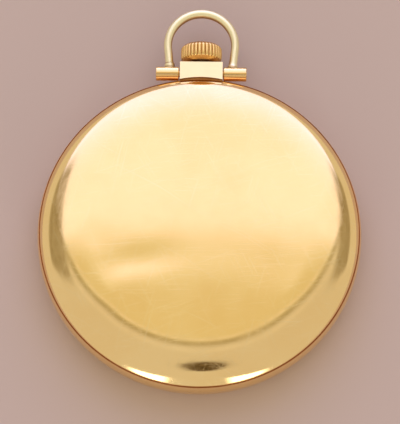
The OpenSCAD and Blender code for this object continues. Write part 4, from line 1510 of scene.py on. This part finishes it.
@dataclass
class Pendant:
    """The rectangular pendant block, with a scooped notch over the case's seam.

    Attributes:
        band: The case band that it stands on.
        scoop_r: Radius of the scoop's arc.
        notch_z: How far under the seam the notch reaches.
        room: Gap between the notch and the case back.
        edge: Rounding of its edges.
        pin_r: Radius of the holes for the bow pins.
        pin_depth: Depth of those holes.
        columns: Number of steps across the block.
        rows: Number of steps up to the notch.
        face_steps: Number of steps on the band's face that it follows.
        darkening: Painted shade on the notch's floor, under the scoop.
    """

    band: CaseBand
    scoop_r: float = 14.0
    notch_z: float = 0.2
    room: float = 0.1
    edge: float = 0.09
    pin_r: float = 0.45
    pin_depth: float = 1.2
    columns: int = 24
    rows: int = 6
    face_steps: int = 28
    darkening: float = 0.9

    def __post_init__(self) -> None:
        """Reads the block's box from the frame."""
        self.low, self.high = box_mm("pendant")

    def start(self, x: float, z: float) -> float:
        """Gives the block's lower end at a place, against the band or the scoop.

        Args:
            x: Place across.
            z: Height.

        Returns:
            The end's place along Y.
        """
        face = self.band.face(self.face_steps)
        if z <= self.band.top:
            below = [p for p in face if p[1] <= z + 1e-6][-1]
            above = next(p for p in face if p[1] >= z - 1e-6)
            span = above[1] - below[1]
            share = (z - below[1]) / span if span > 1e-9 else 0.0
            reach = below[0] + (above[0] - below[0]) * share
        else:
            reach = face[-1][0] + self.room
        y = math.sqrt(reach ** 2 - x ** 2)
        if z > self.band.top - self.notch_z + 1e-3:
            scoop = self.band.radius + 0.05 - self.scoop_r + math.sqrt(self.scoop_r ** 2 - x ** 2)
            y = max(y, scoop)
        return y

    def build(self, gold: bpy.types.Material) -> None:
        """Makes the block.

        Args:
            gold: Its finish.
        """
        floor = self.band.top - self.notch_z
        rise = (floor - self.low.z) / self.rows
        heights = [self.low.z + rise * i for i in range(self.rows + 1)]
        heights += [floor + 2e-3, self.high.z]
        step = (self.high.x - self.low.x) / self.columns
        xs = [self.low.x + step * i for i in range(self.columns + 1)]
        bm = bmesh.new()
        near = [[bm.verts.new((x, self.start(x, z), z)) for x in xs] for z in heights]
        far = [[bm.verts.new((x, self.high.y, z)) for x in xs] for z in heights]
        for row in range(len(heights) - 1):
            for col in range(self.columns):
                for grid in (near, far):
                    bm.faces.new((grid[row][col], grid[row][col + 1],
                                  grid[row + 1][col + 1], grid[row + 1][col]))
            for col in (0, self.columns):
                bm.faces.new((near[row][col], near[row + 1][col], far[row + 1][col], far[row][col]))
        for row in (0, len(heights) - 1):
            for col in range(self.columns):
                bm.faces.new((near[row][col], near[row][col + 1], far[row][col + 1], far[row][col]))
        block = finish_mesh("pendant_block", bm)
        stem_z = self.band.stem_z
        bored(block, Vector((0, self.low.y - 1, stem_z)), Vector((0, self.high.y + 1, stem_z)),
              self.band.sleeve_r)
        hinge = joint_place("bow_swing")
        for side in (-1, 1):
            inside = Vector((side * (self.high.x - self.pin_depth), hinge.y, hinge.z))
            bored(block, inside, inside + Vector((side * 2 * self.pin_depth, 0, 0)), self.pin_r)
        evened(sharpen(bevelled(block, self.edge, 3, 50.0), 70.0))
        # Painted shade: the notch's floor under the scoop is darkened to dark brown.
        near_band = self.band.radius + self.room
        stained_and_shaded(block, lambda at, normal: self.darkening if at.z < floor + 0.01 and normal.z > -0.5
                and at.y < near_band else 0.0)
        placed_piece(block, gold, Body.CASE, Slot.GOLD, "pendant")


class LegFoot(Enum):
    """How a leg of the bow meets its knuckle."""

    COLLAR = "collar"
    FILLET = "fillet"


@dataclass
class Bow:
    """The stirrup bow: one round wire on two knuckles.

    Attributes:
        lean: How far the legs lean inwards, in degrees.
        wire: Radius of the wire at the top of the arch.
        leg: Radius of the wire in the legs.
        knuckle_r: Radius of the knuckles.
        bore: Radius of the hole for a pin.
        head_bore: Radius of the recess for a pin's head.
        head_depth: Depth of that recess.
        edge: Bevel at a knuckle's ends.
        play: Gap between a knuckle and the pendant.
        collar: How far the left foot's collar stands out, and between which heights it ends.
        groove: Depth, height and width of the groove over the collar.
        fillet: Width and height of the right foot's fillet.
        sides: Number of sides of the wire.
        leg_steps: Number of steps along a leg.
        arch_steps: Number of steps along the arch.
        left_foot: How the left leg ends.
        right_foot: How the right leg ends.
    """

    lean: float = 6.0
    wire: float = 0.625
    leg: float = 0.57
    knuckle_r: float = 1.0
    bore: float = 0.47
    head_bore: float = 0.64
    head_depth: float = 0.5
    edge: float = 0.08
    play: float = 0.08
    collar = (0.13, 0.44, 0.50)
    groove = (0.05, 0.53, 0.04)
    fillet: Point = (0.22, 0.22)
    sides: int = 40
    leg_steps: int = 110
    arch_steps: int = 84
    left_foot: LegFoot = LegFoot.COLLAR
    right_foot: LegFoot = LegFoot.FILLET

    def __post_init__(self) -> None:
        """Reads the hinge and the arch's size from the frame.

        The arch is half a circle whose wire touches the bow's box.
        """
        low, high = box_mm("bow")
        self.hinge = joint_place("bow_swing")
        self.arch = high.x - self.wire
        self.centre_y = high.y - self.wire - self.arch

    def foot_radius(self, foot: LegFoot, up: float) -> float:
        """Gives the wire's radius at a height above the knuckle.

        Args:
            foot: How the leg ends.
            up: Height above the knuckle's surface.

        Returns:
            The radius.
        """
        if foot is LegFoot.COLLAR:
            out, full, none = self.collar
            depth, at, width = self.groove
            return self.leg + out * step_down(up, full, none) - depth * hump(up, at, width)
        out, height = self.fillet
        return self.leg + out * math.exp(-max(up, 0.0) / height)

    def path(self) -> list[tuple[Vector, float]]:
        """Follows the wire from the left foot to the right one.

        Returns:
            Each point with the wire's radius there.
        """
        lean = math.radians(self.lean)
        knee = Vector((self.arch * math.cos(lean), self.centre_y - self.arch * math.sin(lean),
                       self.hinge.z))
        down = Vector((-math.sin(lean), -math.cos(lean), 0.0))
        length = (knee.y - self.hinge.y - self.knuckle_r * 0.75) / math.cos(lean)
        right = []
        for i in range(self.leg_steps + 1):
            point = knee + down * (length * i / self.leg_steps)
            right.append((point, point.y - self.hinge.y - self.knuckle_r))
        left = [(Vector((-p.x, p.y, p.z)), up) for p, up in right]
        points = [(p, self.foot_radius(self.left_foot, up)) for p, up in reversed(left)]
        for i in range(1, self.arch_steps):
            turn = math.pi + lean - (math.pi + 2 * lean) * i / self.arch_steps
            radius = self.leg + (self.wire - self.leg) * max(0.0, math.sin(turn))
            across, up = self.arch * math.cos(turn), self.arch * math.sin(turn)
            points.append((Vector((across, self.centre_y + up, self.hinge.z)), radius))
        points += [(p, self.foot_radius(self.right_foot, up)) for p, up in right]
        return points

    def wire_painted_shade(self, at: Vector, normal: Vector) -> float:
        """Paints shade on the wire's inner side and in the corner at each foot.

        Args:
            at: A place on the wire.
            normal: The surface's direction there.

        Returns:
            The painted shade from 0 to 1.
        """
        inward = Vector((-at.x, self.centre_y - at.y, 0.0))
        if at.y < self.centre_y:
            inward.y = 0.0
        side = normal.dot(inward.normalized()) if inward.length else 0.0
        up = at.y - self.hinge.y - self.knuckle_r
        foot = 0.5 * step_down(up, 0.0, 0.15)
        ring = 0.75 * hump(up, self.groove[1], 0.05) if at.x < 0.0 else 0.0
        return max(0.75 * step_down(side, 0.95, 0.6), foot, ring)

    def knuckle_shade_and_line(self, at: Vector, normal: Vector) -> float:
        """Paints shade on a knuckle's lower side and draws a thin dark line along it, not on its ends.

        Args:
            at: A place on the knuckle.
            normal: The surface's direction there.

        Returns:
            The painted shade and the line, from 0 to 1.
        """
        angle = math.degrees(math.atan2(normal.y, normal.z))
        line = 0.85 * hump(angle, -12.0, 4.0)
        under = 0.55 * step_down(angle, -30.0, -20.0) + 0.45 * step_down(angle, -72.0, -35.0)
        return max(line, under) * (1.0 - abs(normal.x))

    def wire_piece(self, gold: bpy.types.Material) -> None:
        """Makes the wire by sweeping a circle along the path.

        Args:
            gold: Its finish.
        """
        points = self.path()
        curve = bpy.data.curves.new("bow_path", "CURVE")
        curve.dimensions = "3D"
        spline = curve.splines.new("POLY")
        spline.points.add(len(points) - 1)
        for target, (point, radius) in zip(spline.points, points):
            target.co = (*(point * MM), 1.0)
            target.radius = radius * MM
        path = bpy.data.objects.new("bow_path", curve)
        bpy.context.scene.collection.objects.link(path)
        wire = tube_tree().bake("bow_wire", {"Path": path, "Sides": self.sides, "Finish": gold})
        bpy.data.objects.remove(path)
        # Painted shade on the wire's inner side, at its feet and in the left collar's groove.
        stained_and_shaded(wire, self.wire_painted_shade)
        placed_piece(wire, gold, Body.BOW, Slot.GOLD, "bow")

    def knuckle(self, side: int, node: str, gold: bpy.types.Material) -> None:
        """Makes one knuckle.

        Args:
            side: -1 for the left knuckle and 1 for the right.
            node: The CAD node it stands for.
            gold: Its finish.
        """
        low, high = box_mm(node)
        inner, outer = sorted((abs(low.x), abs(high.x)))
        r, e = self.knuckle_r, self.edge
        start = inner + self.play
        points = [(self.bore, start), (r - e, start), (r, start + e), (r, outer - e), (r - e, outer)]
        points += [(self.head_bore, outer), (self.head_bore, outer - self.head_depth)]
        points += [(self.bore, outer - self.head_depth)]
        bm = lathe(points, 72)
        bm.transform(Matrix.Translation(Vector((0, self.hinge.y, self.hinge.z)))
                     @ Matrix.Rotation(side * math.pi / 2, 4, "Y"))
        piece = sharpen(finish_mesh(node + "_barrel", bm))
        # Painted shade on the knuckle's lower side, plus a thin dark line along it.
        stained_and_shaded(piece, self.knuckle_shade_and_line)
        placed_piece(piece, gold, Body.BOW, Slot.GOLD, node)

    def build(self, satin_painted_light: bpy.types.Material, gold: bpy.types.Material) -> None:
        """Makes the bow and its knuckles.

        Args:
            satin_painted_light: The wire's finish, a paler gold as painted light.
            gold: The knuckles' finish.
        """
        self.wire_piece(satin_painted_light)
        self.knuckle(-1, "bow_knuckle_left", gold)
        self.knuckle(1, "bow_knuckle_right", gold)


@dataclass
class Crown:
    """The domed crown with rounded flutes over a plain cone.

    Attributes:
        flutes: Number of flutes.
        depth: Height of a flute above the core.
        collar: Height of the plain cone at its foot.
        cone: How far the cone draws in.
        dome: Height of the domed end.
        neck: Depth of the recess underneath.
        neck_r: Radius of that recess.
    """

    flutes: int = 32
    depth: float = 0.2
    collar: float = 0.3
    cone: float = 0.7
    dome: float = 0.62
    neck: float = 0.4
    neck_r: float = 1.1

    def __post_init__(self) -> None:
        """Reads the crown's box from the frame.

        Heights in this class start at the crown's foot.
        """
        self.low, self.high = box_mm("crown")
        self.radius = (self.high.x - self.low.x) / 2
        self.length = self.high.y - self.low.y
        self.axis_z = (self.high.z + self.low.z) / 2

    def flute_line(self, up: float) -> float:
        """Gives the flutes' outer radius, a little barrelled.

        Args:
            up: Height above the crown's foot.

        Returns:
            The radius.
        """
        share = (up - self.collar) / (self.length - self.collar)
        return self.radius * (1.0 - 0.035 * (2 * share - 0.75) ** 2)

    def core(self) -> bpy.types.Object:
        """Makes the plain body under the flutes.

        Returns:
            The body, in its place.
        """
        r = self.radius - self.depth
        shoulder = self.length - self.dome
        dome_r = (r * r + self.dome * self.dome) / (2 * self.dome)
        half = math.degrees(math.asin((r - 0.12) / dome_r))
        points = [(0.0, self.neck), (self.neck_r, self.neck), (self.neck_r, 0.0)]
        points += [(r - self.cone - 0.05, 0.0), (r - self.cone, 0.05)]
        points += [(r - 0.1, self.collar - 0.06), (r, self.collar + 0.02)]
        points += [(r, shoulder)]
        points += arc((0.0, self.length - dome_r), dome_r, 90 - half, 90, 14)
        return finish_mesh("crown_core", self.stood(lathe(points, 128)))

    def rib(self) -> bpy.types.Object:
        """Makes one flute, standing along Z at the crown's own radius.

        Returns:
            The flute.
        """
        steps, sides = 22, 8
        half = math.pi * self.radius / self.flutes * 0.92
        start, end = self.collar - 0.02, self.length - 0.34
        bm = bmesh.new()
        rings = []
        for i in range(steps + 1):
            up = start + (end - start) * i / steps
            ends = min(1.0, (up - start) / 0.28, (end - up) / 0.5)
            swell = math.sin(0.5 * math.pi * max(0.0, ends)) ** 0.8
            lean = max(0.0, up - (self.length - 0.85)) ** 2 * 0.9
            base = self.radius - self.depth - 0.08 - lean
            height = (self.flute_line(up) - lean - base) * (0.25 + 0.75 * swell)
            ring = []
            for k in range(sides + 1):
                t = math.pi * k / sides
                out = base + height * math.sin(t) ** 0.75
                ring.append(bm.verts.new((out, half * math.cos(t), up)))
            rings.append(ring)
        for first, second in zip(rings, rings[1:]):
            for k in range(sides):
                bm.faces.new((first[k], first[k + 1], second[k + 1], second[k]))
            bm.faces.new((first[sides], first[0], second[0], second[sides]))
        bm.faces.new(rings[0])
        bm.faces.new(rings[-1])
        return finish_mesh("crown_rib", bm)

    def rib_painted_shade(self, at: Vector, normal: Vector) -> float:
        """Paints shade on a flute's flanks and leaves its crest bright.

        Args:
            at: A place on a flute.
            normal: The surface's direction there.

        Returns:
            The painted shade from 0 to 1.
        """
        out = math.hypot(at.x, at.z - self.axis_z)
        crest = self.flute_line(at.y - self.low.y)
        return 0.6 * step_down(out, crest - 0.14, crest - 0.03)

    def stood(self, bm: bmesh.types.BMesh) -> bmesh.types.BMesh:
        """Turns a part made about Z onto the stem's axis, in place.

        Args:
            bm: The part.

        Returns:
            The same part.
        """
        bm.transform(Matrix.Translation(Vector((0, self.low.y, self.axis_z)))
                     @ Matrix.Rotation(-math.pi / 2, 4, "X"))
        return bm

    def build(self, gold: bpy.types.Material, under: bpy.types.Material, ring: GeometryTree) -> None:
        """Makes the crown.

        Args:
            gold: The flutes' finish.
            under: The core's finish, a deeper gold as painted shade.
            ring: The tree that sets copies round a circle.
        """
        core = self.core()
        rib = self.rib()
        ribs = ring.bake("crown_flutes", {"Piece": rib, "Count": self.flutes, "Radius": 0.0,
                                          "Height": 0.0, "First turn": math.pi / self.flutes,
                                          "Finish": gold})
        ribs.data.transform(Matrix.Translation(Vector((0, self.low.y, self.axis_z)) * MM)
                            @ Matrix.Rotation(-math.pi / 2, 4, "X"))
        bpy.data.objects.remove(rib)
        sharpen(core, 40.0)
        # Painted shade: the core is darker all over, where it shows between the flutes and on the
        # cone, and darkest at its foot beside the pendant.
        foot = self.low.y
        stained_and_shaded(core, lambda at, normal: 0.4 + 0.3 * step_down(at.y, foot + 0.05, foot + 0.25))
        # Painted shade on the flutes' flanks, between the bright crests.
        stained_and_shaded(ribs, self.rib_painted_shade)
        placed_piece(core, under, Body.CROWN, Slot.GOLD, "crown")
        placed_piece(ribs, gold, Body.CROWN, Slot.GOLD)


# ---------------------------------------------------------------- studio


@dataclass(frozen=True)
class Heading:
    """The parts of a direction that the panels are placed by.

    Attributes:
        direction: The direction itself.
        x: Its part to the side.
        y: Its part towards twelve o'clock.
        z: Its part upwards.
        side: Slope to the side, for one unit up.
        ahead: Slope towards twelve o'clock, for one unit up.
    """

    direction: Socket
    x: Socket
    y: Socket
    z: Socket
    side: Socket
    ahead: Socket

    @classmethod
    def read(cls, graph: Graph) -> "Heading":
        """Reads the direction in a world's graph.

        Args:
            graph: The graph.

        Returns:
            The direction's parts.
        """
        direction = graph.add("ShaderNodeTexCoord").outputs["Generated"]
        part = graph.add("ShaderNodeSeparateXYZ", Vector=direction)
        x, y, z = (part.outputs[axis] for axis in "XYZ")
        up = graph.math("MAXIMUM", z, 0.02)
        return cls(direction, x, y, z, graph.math("DIVIDE", x, up), graph.math("DIVIDE", y, up))


@dataclass
class PanelLight:
    """The soft panels that the polished gold reflects, as a world.

    Attributes:
        near: Colour of the large panel at its lower end.
        far: Its colour at its upper end.
        edge: Colour of its soft lower edge.
        room: Colour below the panel.
        table: Colour of the table top in front of the watch.
        sheen: Colour of the light streak on the table.
        fold: Colour of the dark line between the room and the table.
        screen: Colour of the dark side screens.
        lamp: Colour of the two small lamps low down in front.
        ground: Colour from below the horizon.
        backdrop: What the camera sees past the floor.
        glass: The darkest and the lightest tone of the round lens.
        fold_drop: How low the dark line sits in the middle.
        fold_bend: How fast it rises to the sides.
        screen_shift: How far the screens stand off centre.
        screen_lean: How the screens' inner edge leans out and where it starts.
        lens_at: Slopes at the lens's middle.
        lens_half: Half its width and height, as slopes.
        lens_tip: How pointed its ends are.
    """

    near: Colour = (1.24, 1.13, 1.22)
    far: Colour = (1.32, 1.30, 2.05)
    edge: Colour = (0.93, 0.84, 0.65)
    room: Colour = (0.80, 0.69, 0.44)
    table: Colour = (0.72, 0.64, 0.52)
    sheen: Colour = (0.95, 0.88, 0.75)
    fold: Colour = (0.42, 0.36, 0.22)
    screen: Colour = (0.28, 0.22, 0.11)
    lamp: Colour = (4.5, 4.3, 4.0)
    ground: Colour = (0.45, 0.38, 0.33)
    backdrop: Colour = (0.66, 0.56, 0.51)
    glass: tuple[Colour, Colour] = ((0.035, 0.022, 0.012), (0.30, 0.20, 0.09))
    fold_drop: float = 0.045
    fold_bend: float = 0.77
    screen_shift: float = 0.04
    screen_lean: Point = (0.35, 0.56)
    lens_at: Point = (0.03, -0.395)
    lens_half: Point = (0.118, 0.085)
    lens_tip: float = 1.4

    def room_colour(self, graph: Graph, at: Heading) -> Socket:
        """Draws the large panel, the dark line and the table.

        Args:
            graph: The world's graph.
            at: The direction.

        Returns:
            The colour so far.
        """
        panel = graph.mix(graph.ramp(at.ahead, 0.4, 1.6), self.near, self.far)
        warm = graph.mix(graph.ramp(at.ahead, 0.17, 0.25), self.room, self.edge)
        colour = graph.mix(graph.ramp(at.ahead, 0.235, 0.32), warm, panel)
        squared = graph.math("MULTIPLY", at.side, at.side)
        curve = graph.math("MULTIPLY", squared, self.fold_bend)
        past = graph.math("SUBTRACT", graph.math("ADD", at.ahead, self.fold_drop), curve)
        glow = graph.window(past, (0.03, 0.055), (0.09, 0.06))
        colour = graph.mix(graph.math("MULTIPLY", glow, 0.22), colour, panel)
        colour = graph.mix(graph.ramp(past, 0.0, -0.035), colour, self.table)
        streak = graph.window(past, (-0.05, -0.085), (-0.15, -0.10))
        colour = graph.mix(graph.math("MULTIPLY", streak, 0.3), colour, self.sheen)
        line = graph.window(past, (-0.055, -0.01), (0.05, 0.01))
        return graph.mix(graph.math("MULTIPLY", line, 0.85), colour, self.fold)

    def with_screens(self, graph: Graph, at: Heading, colour: Socket) -> Socket:
        """Adds the dark side screens.

        Args:
            graph: The world's graph.
            at: The direction.
            colour: The colour so far.

        Returns:
            The new colour.
        """
        across = graph.math("ABSOLUTE", graph.math("SUBTRACT", at.side, self.screen_shift))
        edge = graph.math("MULTIPLY_ADD", at.y, *self.screen_lean)
        inner = graph.ramp(graph.math("SUBTRACT", across, edge), 0.0, 0.08)
        wide = graph.math("MULTIPLY", inner, graph.ramp(across, 1.9, 1.25))
        tall = graph.window(at.y, (0.02, 0.10), (0.62, 0.5))
        streaks = graph.ramp(graph.noise(at.direction, 22.0, 4.0, 0.65), 0.35, 0.65, (0.6, 1.0))
        shade = graph.math("MULTIPLY", graph.math("MULTIPLY", wide, tall), streaks)
        return graph.mix(graph.math("MULTIPLY", shade, 0.95), colour, self.screen)

    def with_lens(self, graph: Graph, at: Heading, colour: Socket) -> Socket:
        """Adds the dark round lens in front of the watch.

        Args:
            graph: The world's graph.
            at: The direction.
            colour: The colour so far.

        Returns:
            The new colour.
        """
        wide, high = (graph.math("DIVIDE", graph.math("SUBTRACT", slope, middle), half) for
                      slope, middle, half in zip((at.side, at.ahead), self.lens_at, self.lens_half))
        pointed = graph.math("POWER", graph.math("ABSOLUTE", wide), self.lens_tip)
        spot = graph.math("ADD", pointed, graph.math("MULTIPLY", high, high))
        speckle = graph.ramp(graph.noise(at.direction, 90.0, 3.0), 0.4, 0.7)
        glass = graph.mix(speckle, *self.glass)
        return graph.mix(graph.ramp(spot, 1.05, 0.9), colour, glass)

    def with_lamps(self, graph: Graph, at: Heading, colour: Socket) -> Socket:
        """Adds the two small lamps low down in front.

        Args:
            graph: The world's graph.
            at: The direction.
            colour: The colour so far.

        Returns:
            The new colour.
        """
        towards = graph.math("MAXIMUM", graph.math("MULTIPLY", at.y, -1.0), 0.02)
        around = graph.math("DIVIDE", graph.math("ABSOLUTE", at.x), towards)
        wide = graph.window(around, (0.22, 0.34), (0.70, 0.50))
        top = graph.math("MULTIPLY_ADD", around, -0.55, 0.62)
        under_top = graph.ramp(graph.math("SUBTRACT", at.z, top), 0.04, -0.04)
        tall = graph.math("MULTIPLY", graph.ramp(at.z, 0.03, 0.08), under_top)
        return graph.mix(graph.math("MULTIPLY", wide, tall), colour, self.lamp)

    def build(self) -> None:
        """Makes the world and puts it in the scene.

        The room comes first, then the screens, the lens and the lamps in front of it.
        """
        world = bpy.data.worlds.new("studio")
        world.use_nodes = True
        bpy.context.scene.world = world
        graph = Graph(world.node_tree)
        at = Heading.read(graph)
        colour = self.room_colour(graph, at)
        for layer in (self.with_screens, self.with_lens, self.with_lamps):
            colour = layer(graph, at, colour)
        colour = graph.mix(graph.ramp(at.z, 0.02, -0.05), colour, self.ground)
        seen = graph.add("ShaderNodeLightPath").outputs["Is Camera Ray"]
        colour = graph.mix(seen, colour, self.backdrop)
        shine = graph.add("ShaderNodeBackground", Color=colour, Strength=1.0)
        output = graph.add("ShaderNodeOutputWorld")
        graph.feed(output.inputs["Surface"], shine.outputs["Background"])


@dataclass
class Studio:
    """The floor, the light and the camera.

    Attributes:
        tilt: How far the camera leans towards six o'clock from straight above, in degrees.
        distance: Camera distance in metres.
        across: Width of the view at the seam, in metres.
        shape: Height of the view for one unit of width.
        aim: Where the camera looks on the seam's plane, in millimetres.
        roll: Turn of the camera about its own axis, in degrees.
        sensor: Width of the camera's sensor in millimetres.
    """

    tilt: float = 16.6
    distance: float = 0.62
    across: float = 0.0556
    shape: float = 1.06
    aim: Point = (0.05, 2.8)
    roll: float = 0.65
    sensor: float = 36.0

    def build_floor(self) -> None:
        """Makes the plain floor.

        It is part of the stage, so it doesn't count as a piece of the watch.
        """
        bm = bmesh.new()
        bmesh.ops.create_grid(bm, x_segments=8, y_segments=8, size=1500.0)
        floor = finish_mesh("floor", bm)
        floor.data.materials.append(PaleFloor("pale_floor").build())

    def build_camera(self) -> None:
        """Makes the camera at the chosen angle.

        It looks at a point on the seam's plane and becomes the scene's camera.
        """
        seam = box_mm("mid_case")[1].z
        tilt = math.radians(self.tilt)
        back = Vector((0.0, -math.sin(tilt), math.cos(tilt)))
        up = Vector((0.0, math.cos(tilt), math.sin(tilt)))
        target = Vector((self.aim[0], 0.0, seam)) * MM + up * self.aim[1] * MM
        data = bpy.data.cameras.new("camera")
        data.sensor_width = self.sensor
        data.lens = self.sensor * self.distance / (self.across * self.shape)
        camera = bpy.data.objects.new("camera", data)
        camera.location = target + back * self.distance
        turn = (-back).to_track_quat("-Z", "Y").to_matrix().to_4x4()
        camera.matrix_world = (Matrix.Translation(camera.location) @ turn
                               @ Matrix.Rotation(math.radians(self.roll), 4, "Z"))
        data.clip_start = 0.01
        bpy.context.scene.collection.objects.link(camera)
        bpy.context.scene.camera = camera

    def build(self) -> None:
        """Makes the whole studio.

        The view transform is the plain one, so that the panels' colours come out as given.
        """
        self.build_floor()
        self.build_camera()
        PanelLight().build()
        bpy.context.scene.view_settings.view_transform = "Standard"


# ---------------------------------------------------------------- inner parts


class InnerFinishes:
    """Finishes for the CAD nodes that keep their own shape."""

    def dress(self) -> None:
        """Gives every carried-over node its finish.

        A node's slot in the record picks the finish, and a few nodes have one of their own.
        """
        gold = PolishedGold("gold_small_parts", scratches=0.4).build()
        stripes = GiltPlate("striped_gilt", Pattern.STRIPES, relief=0.9).build()
        pearls = GiltPlate("pearled_gilt", Pattern.PEARLS).build()
        frost = GiltPlate("frosted_gilt").build()
        steel = PolishedSteel("bright_steel").build()
        blued = PolishedSteel("heat_blued_steel", (0.025, 0.05, 0.24), (0.018, 0.03, 0.15),
                              0.14, 0.15).build()
        spring = PolishedSteel("spring_steel", (0.42, 0.44, 0.47), (0.3, 0.32, 0.36),
                               0.25, 0.4).build()
        ruby = Ruby("ruby_red").build()
        dial = SilveredDial("silvered_dial", seconds_place(), SECONDS_R).build()
        slots = {row["node"]: row["material_slot"] for row in frame["record"]["subparts"]}
        by_slot = {Slot.GOLD: gold, Slot.DIAL: dial, Slot.GILT: frost, Slot.STEEL: steel,
                   Slot.BLUED: blued, Slot.RUBY: ruby, Slot.SPRING: spring, Slot.CRYSTAL: frost}
        # The bow pins are painted dark brown as painted shade in the gaps beside the knuckles.
        shaded = PolishedGold("shaded_pin_gold", (0.5, 0.26, 0.08), roughness=0.25).build()
        special = {"barrel_bridge": stripes, "train_bridge": stripes, "balance_cock": stripes,
                   "main_plate": pearls, "bow_pins": shaded}
        for node, obj in frame["nodes"].items():
            material = special[node] if node in special else by_slot[Slot(slots[node])]
            obj.data.materials.clear()
            obj.data.materials.append(material)


# ---------------------------------------------------------------- making


def main() -> None:
    """Makes the studio and the watch, piece by piece.

    Every piece reports itself through the log when it is given to its body.
    """
    logging.basicConfig(level=logging.INFO)
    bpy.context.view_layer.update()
    Studio().build()
    InnerFinishes().dress()
    gold = PolishedGold("polished_gold").build()
    trim = PolishedGold("polished_gold_trim", roughness=0.07, scratches=0.45, tarnish=0.25).build()
    # The pendant's gold is paler than the case's: painted light, so that it looks brightly lit.
    satin_painted_light = PolishedGold("satin_gold_painted_light", (1.0, 0.87, 0.56), roughness=0.2, scratches=0.4,
                         tarnish=0.12).build()
    # The bow wire's gold is paler still, near white: painted light, so that it looks brightly lit.
    drawn_painted_light = PolishedGold("drawn_gold_wire_painted_light", (1.0, 0.93, 0.60), (1.0, 0.88, 0.50), roughness=0.36,
                         scratches=0.4, tarnish=0.3).build()
    # The knuckles' darker tone is a bright orange: the colour of their painted shade.
    hinge_gold = PolishedGold("hinge_gold", darkening=(0.72, 0.25, 0.012), roughness=0.09,
                              scratches=0.45, tarnish=0.25).build()
    fluted = PolishedGold("fluted_gold", (0.98, 0.68, 0.28), roughness=0.12, scratches=0.3).build()
    # The core's gold is deeper than the flutes' as painted shade.
    under = PolishedGold("crown_body_gold", (0.95, 0.60, 0.22), roughness=0.34,
                         scratches=0.2).build()
    ring = ring_tree()
    band = CaseBand()
    CaseBack().build(gold)
    band.build(trim)
    Bezel().build(trim)
    Crystal().build(ClearCrystal("clear_crystal").build())
    dial_face = box_mm("dial")[0].z
    ink = PrintedInk("dial_ink").build()
    minutes = DialTrack("minute_track", (0.0, 0.0), radius=17.75, tick=0.5, width=0.07, face=dial_face)
    seconds = DialTrack("seconds_track", seconds_place(), radius=4.2, tick=0.3, width=0.05,
                        face=dial_face + SECONDS_SUNK)
    minutes.build(ink, ring)
    seconds.build(ink, ring)
    Pendant(band).build(satin_painted_light)
    Bow().build(drawn_painted_light, hinge_gold)
    Crown().build(fluted, under, ring)


if __name__ == "__main__":
    main()
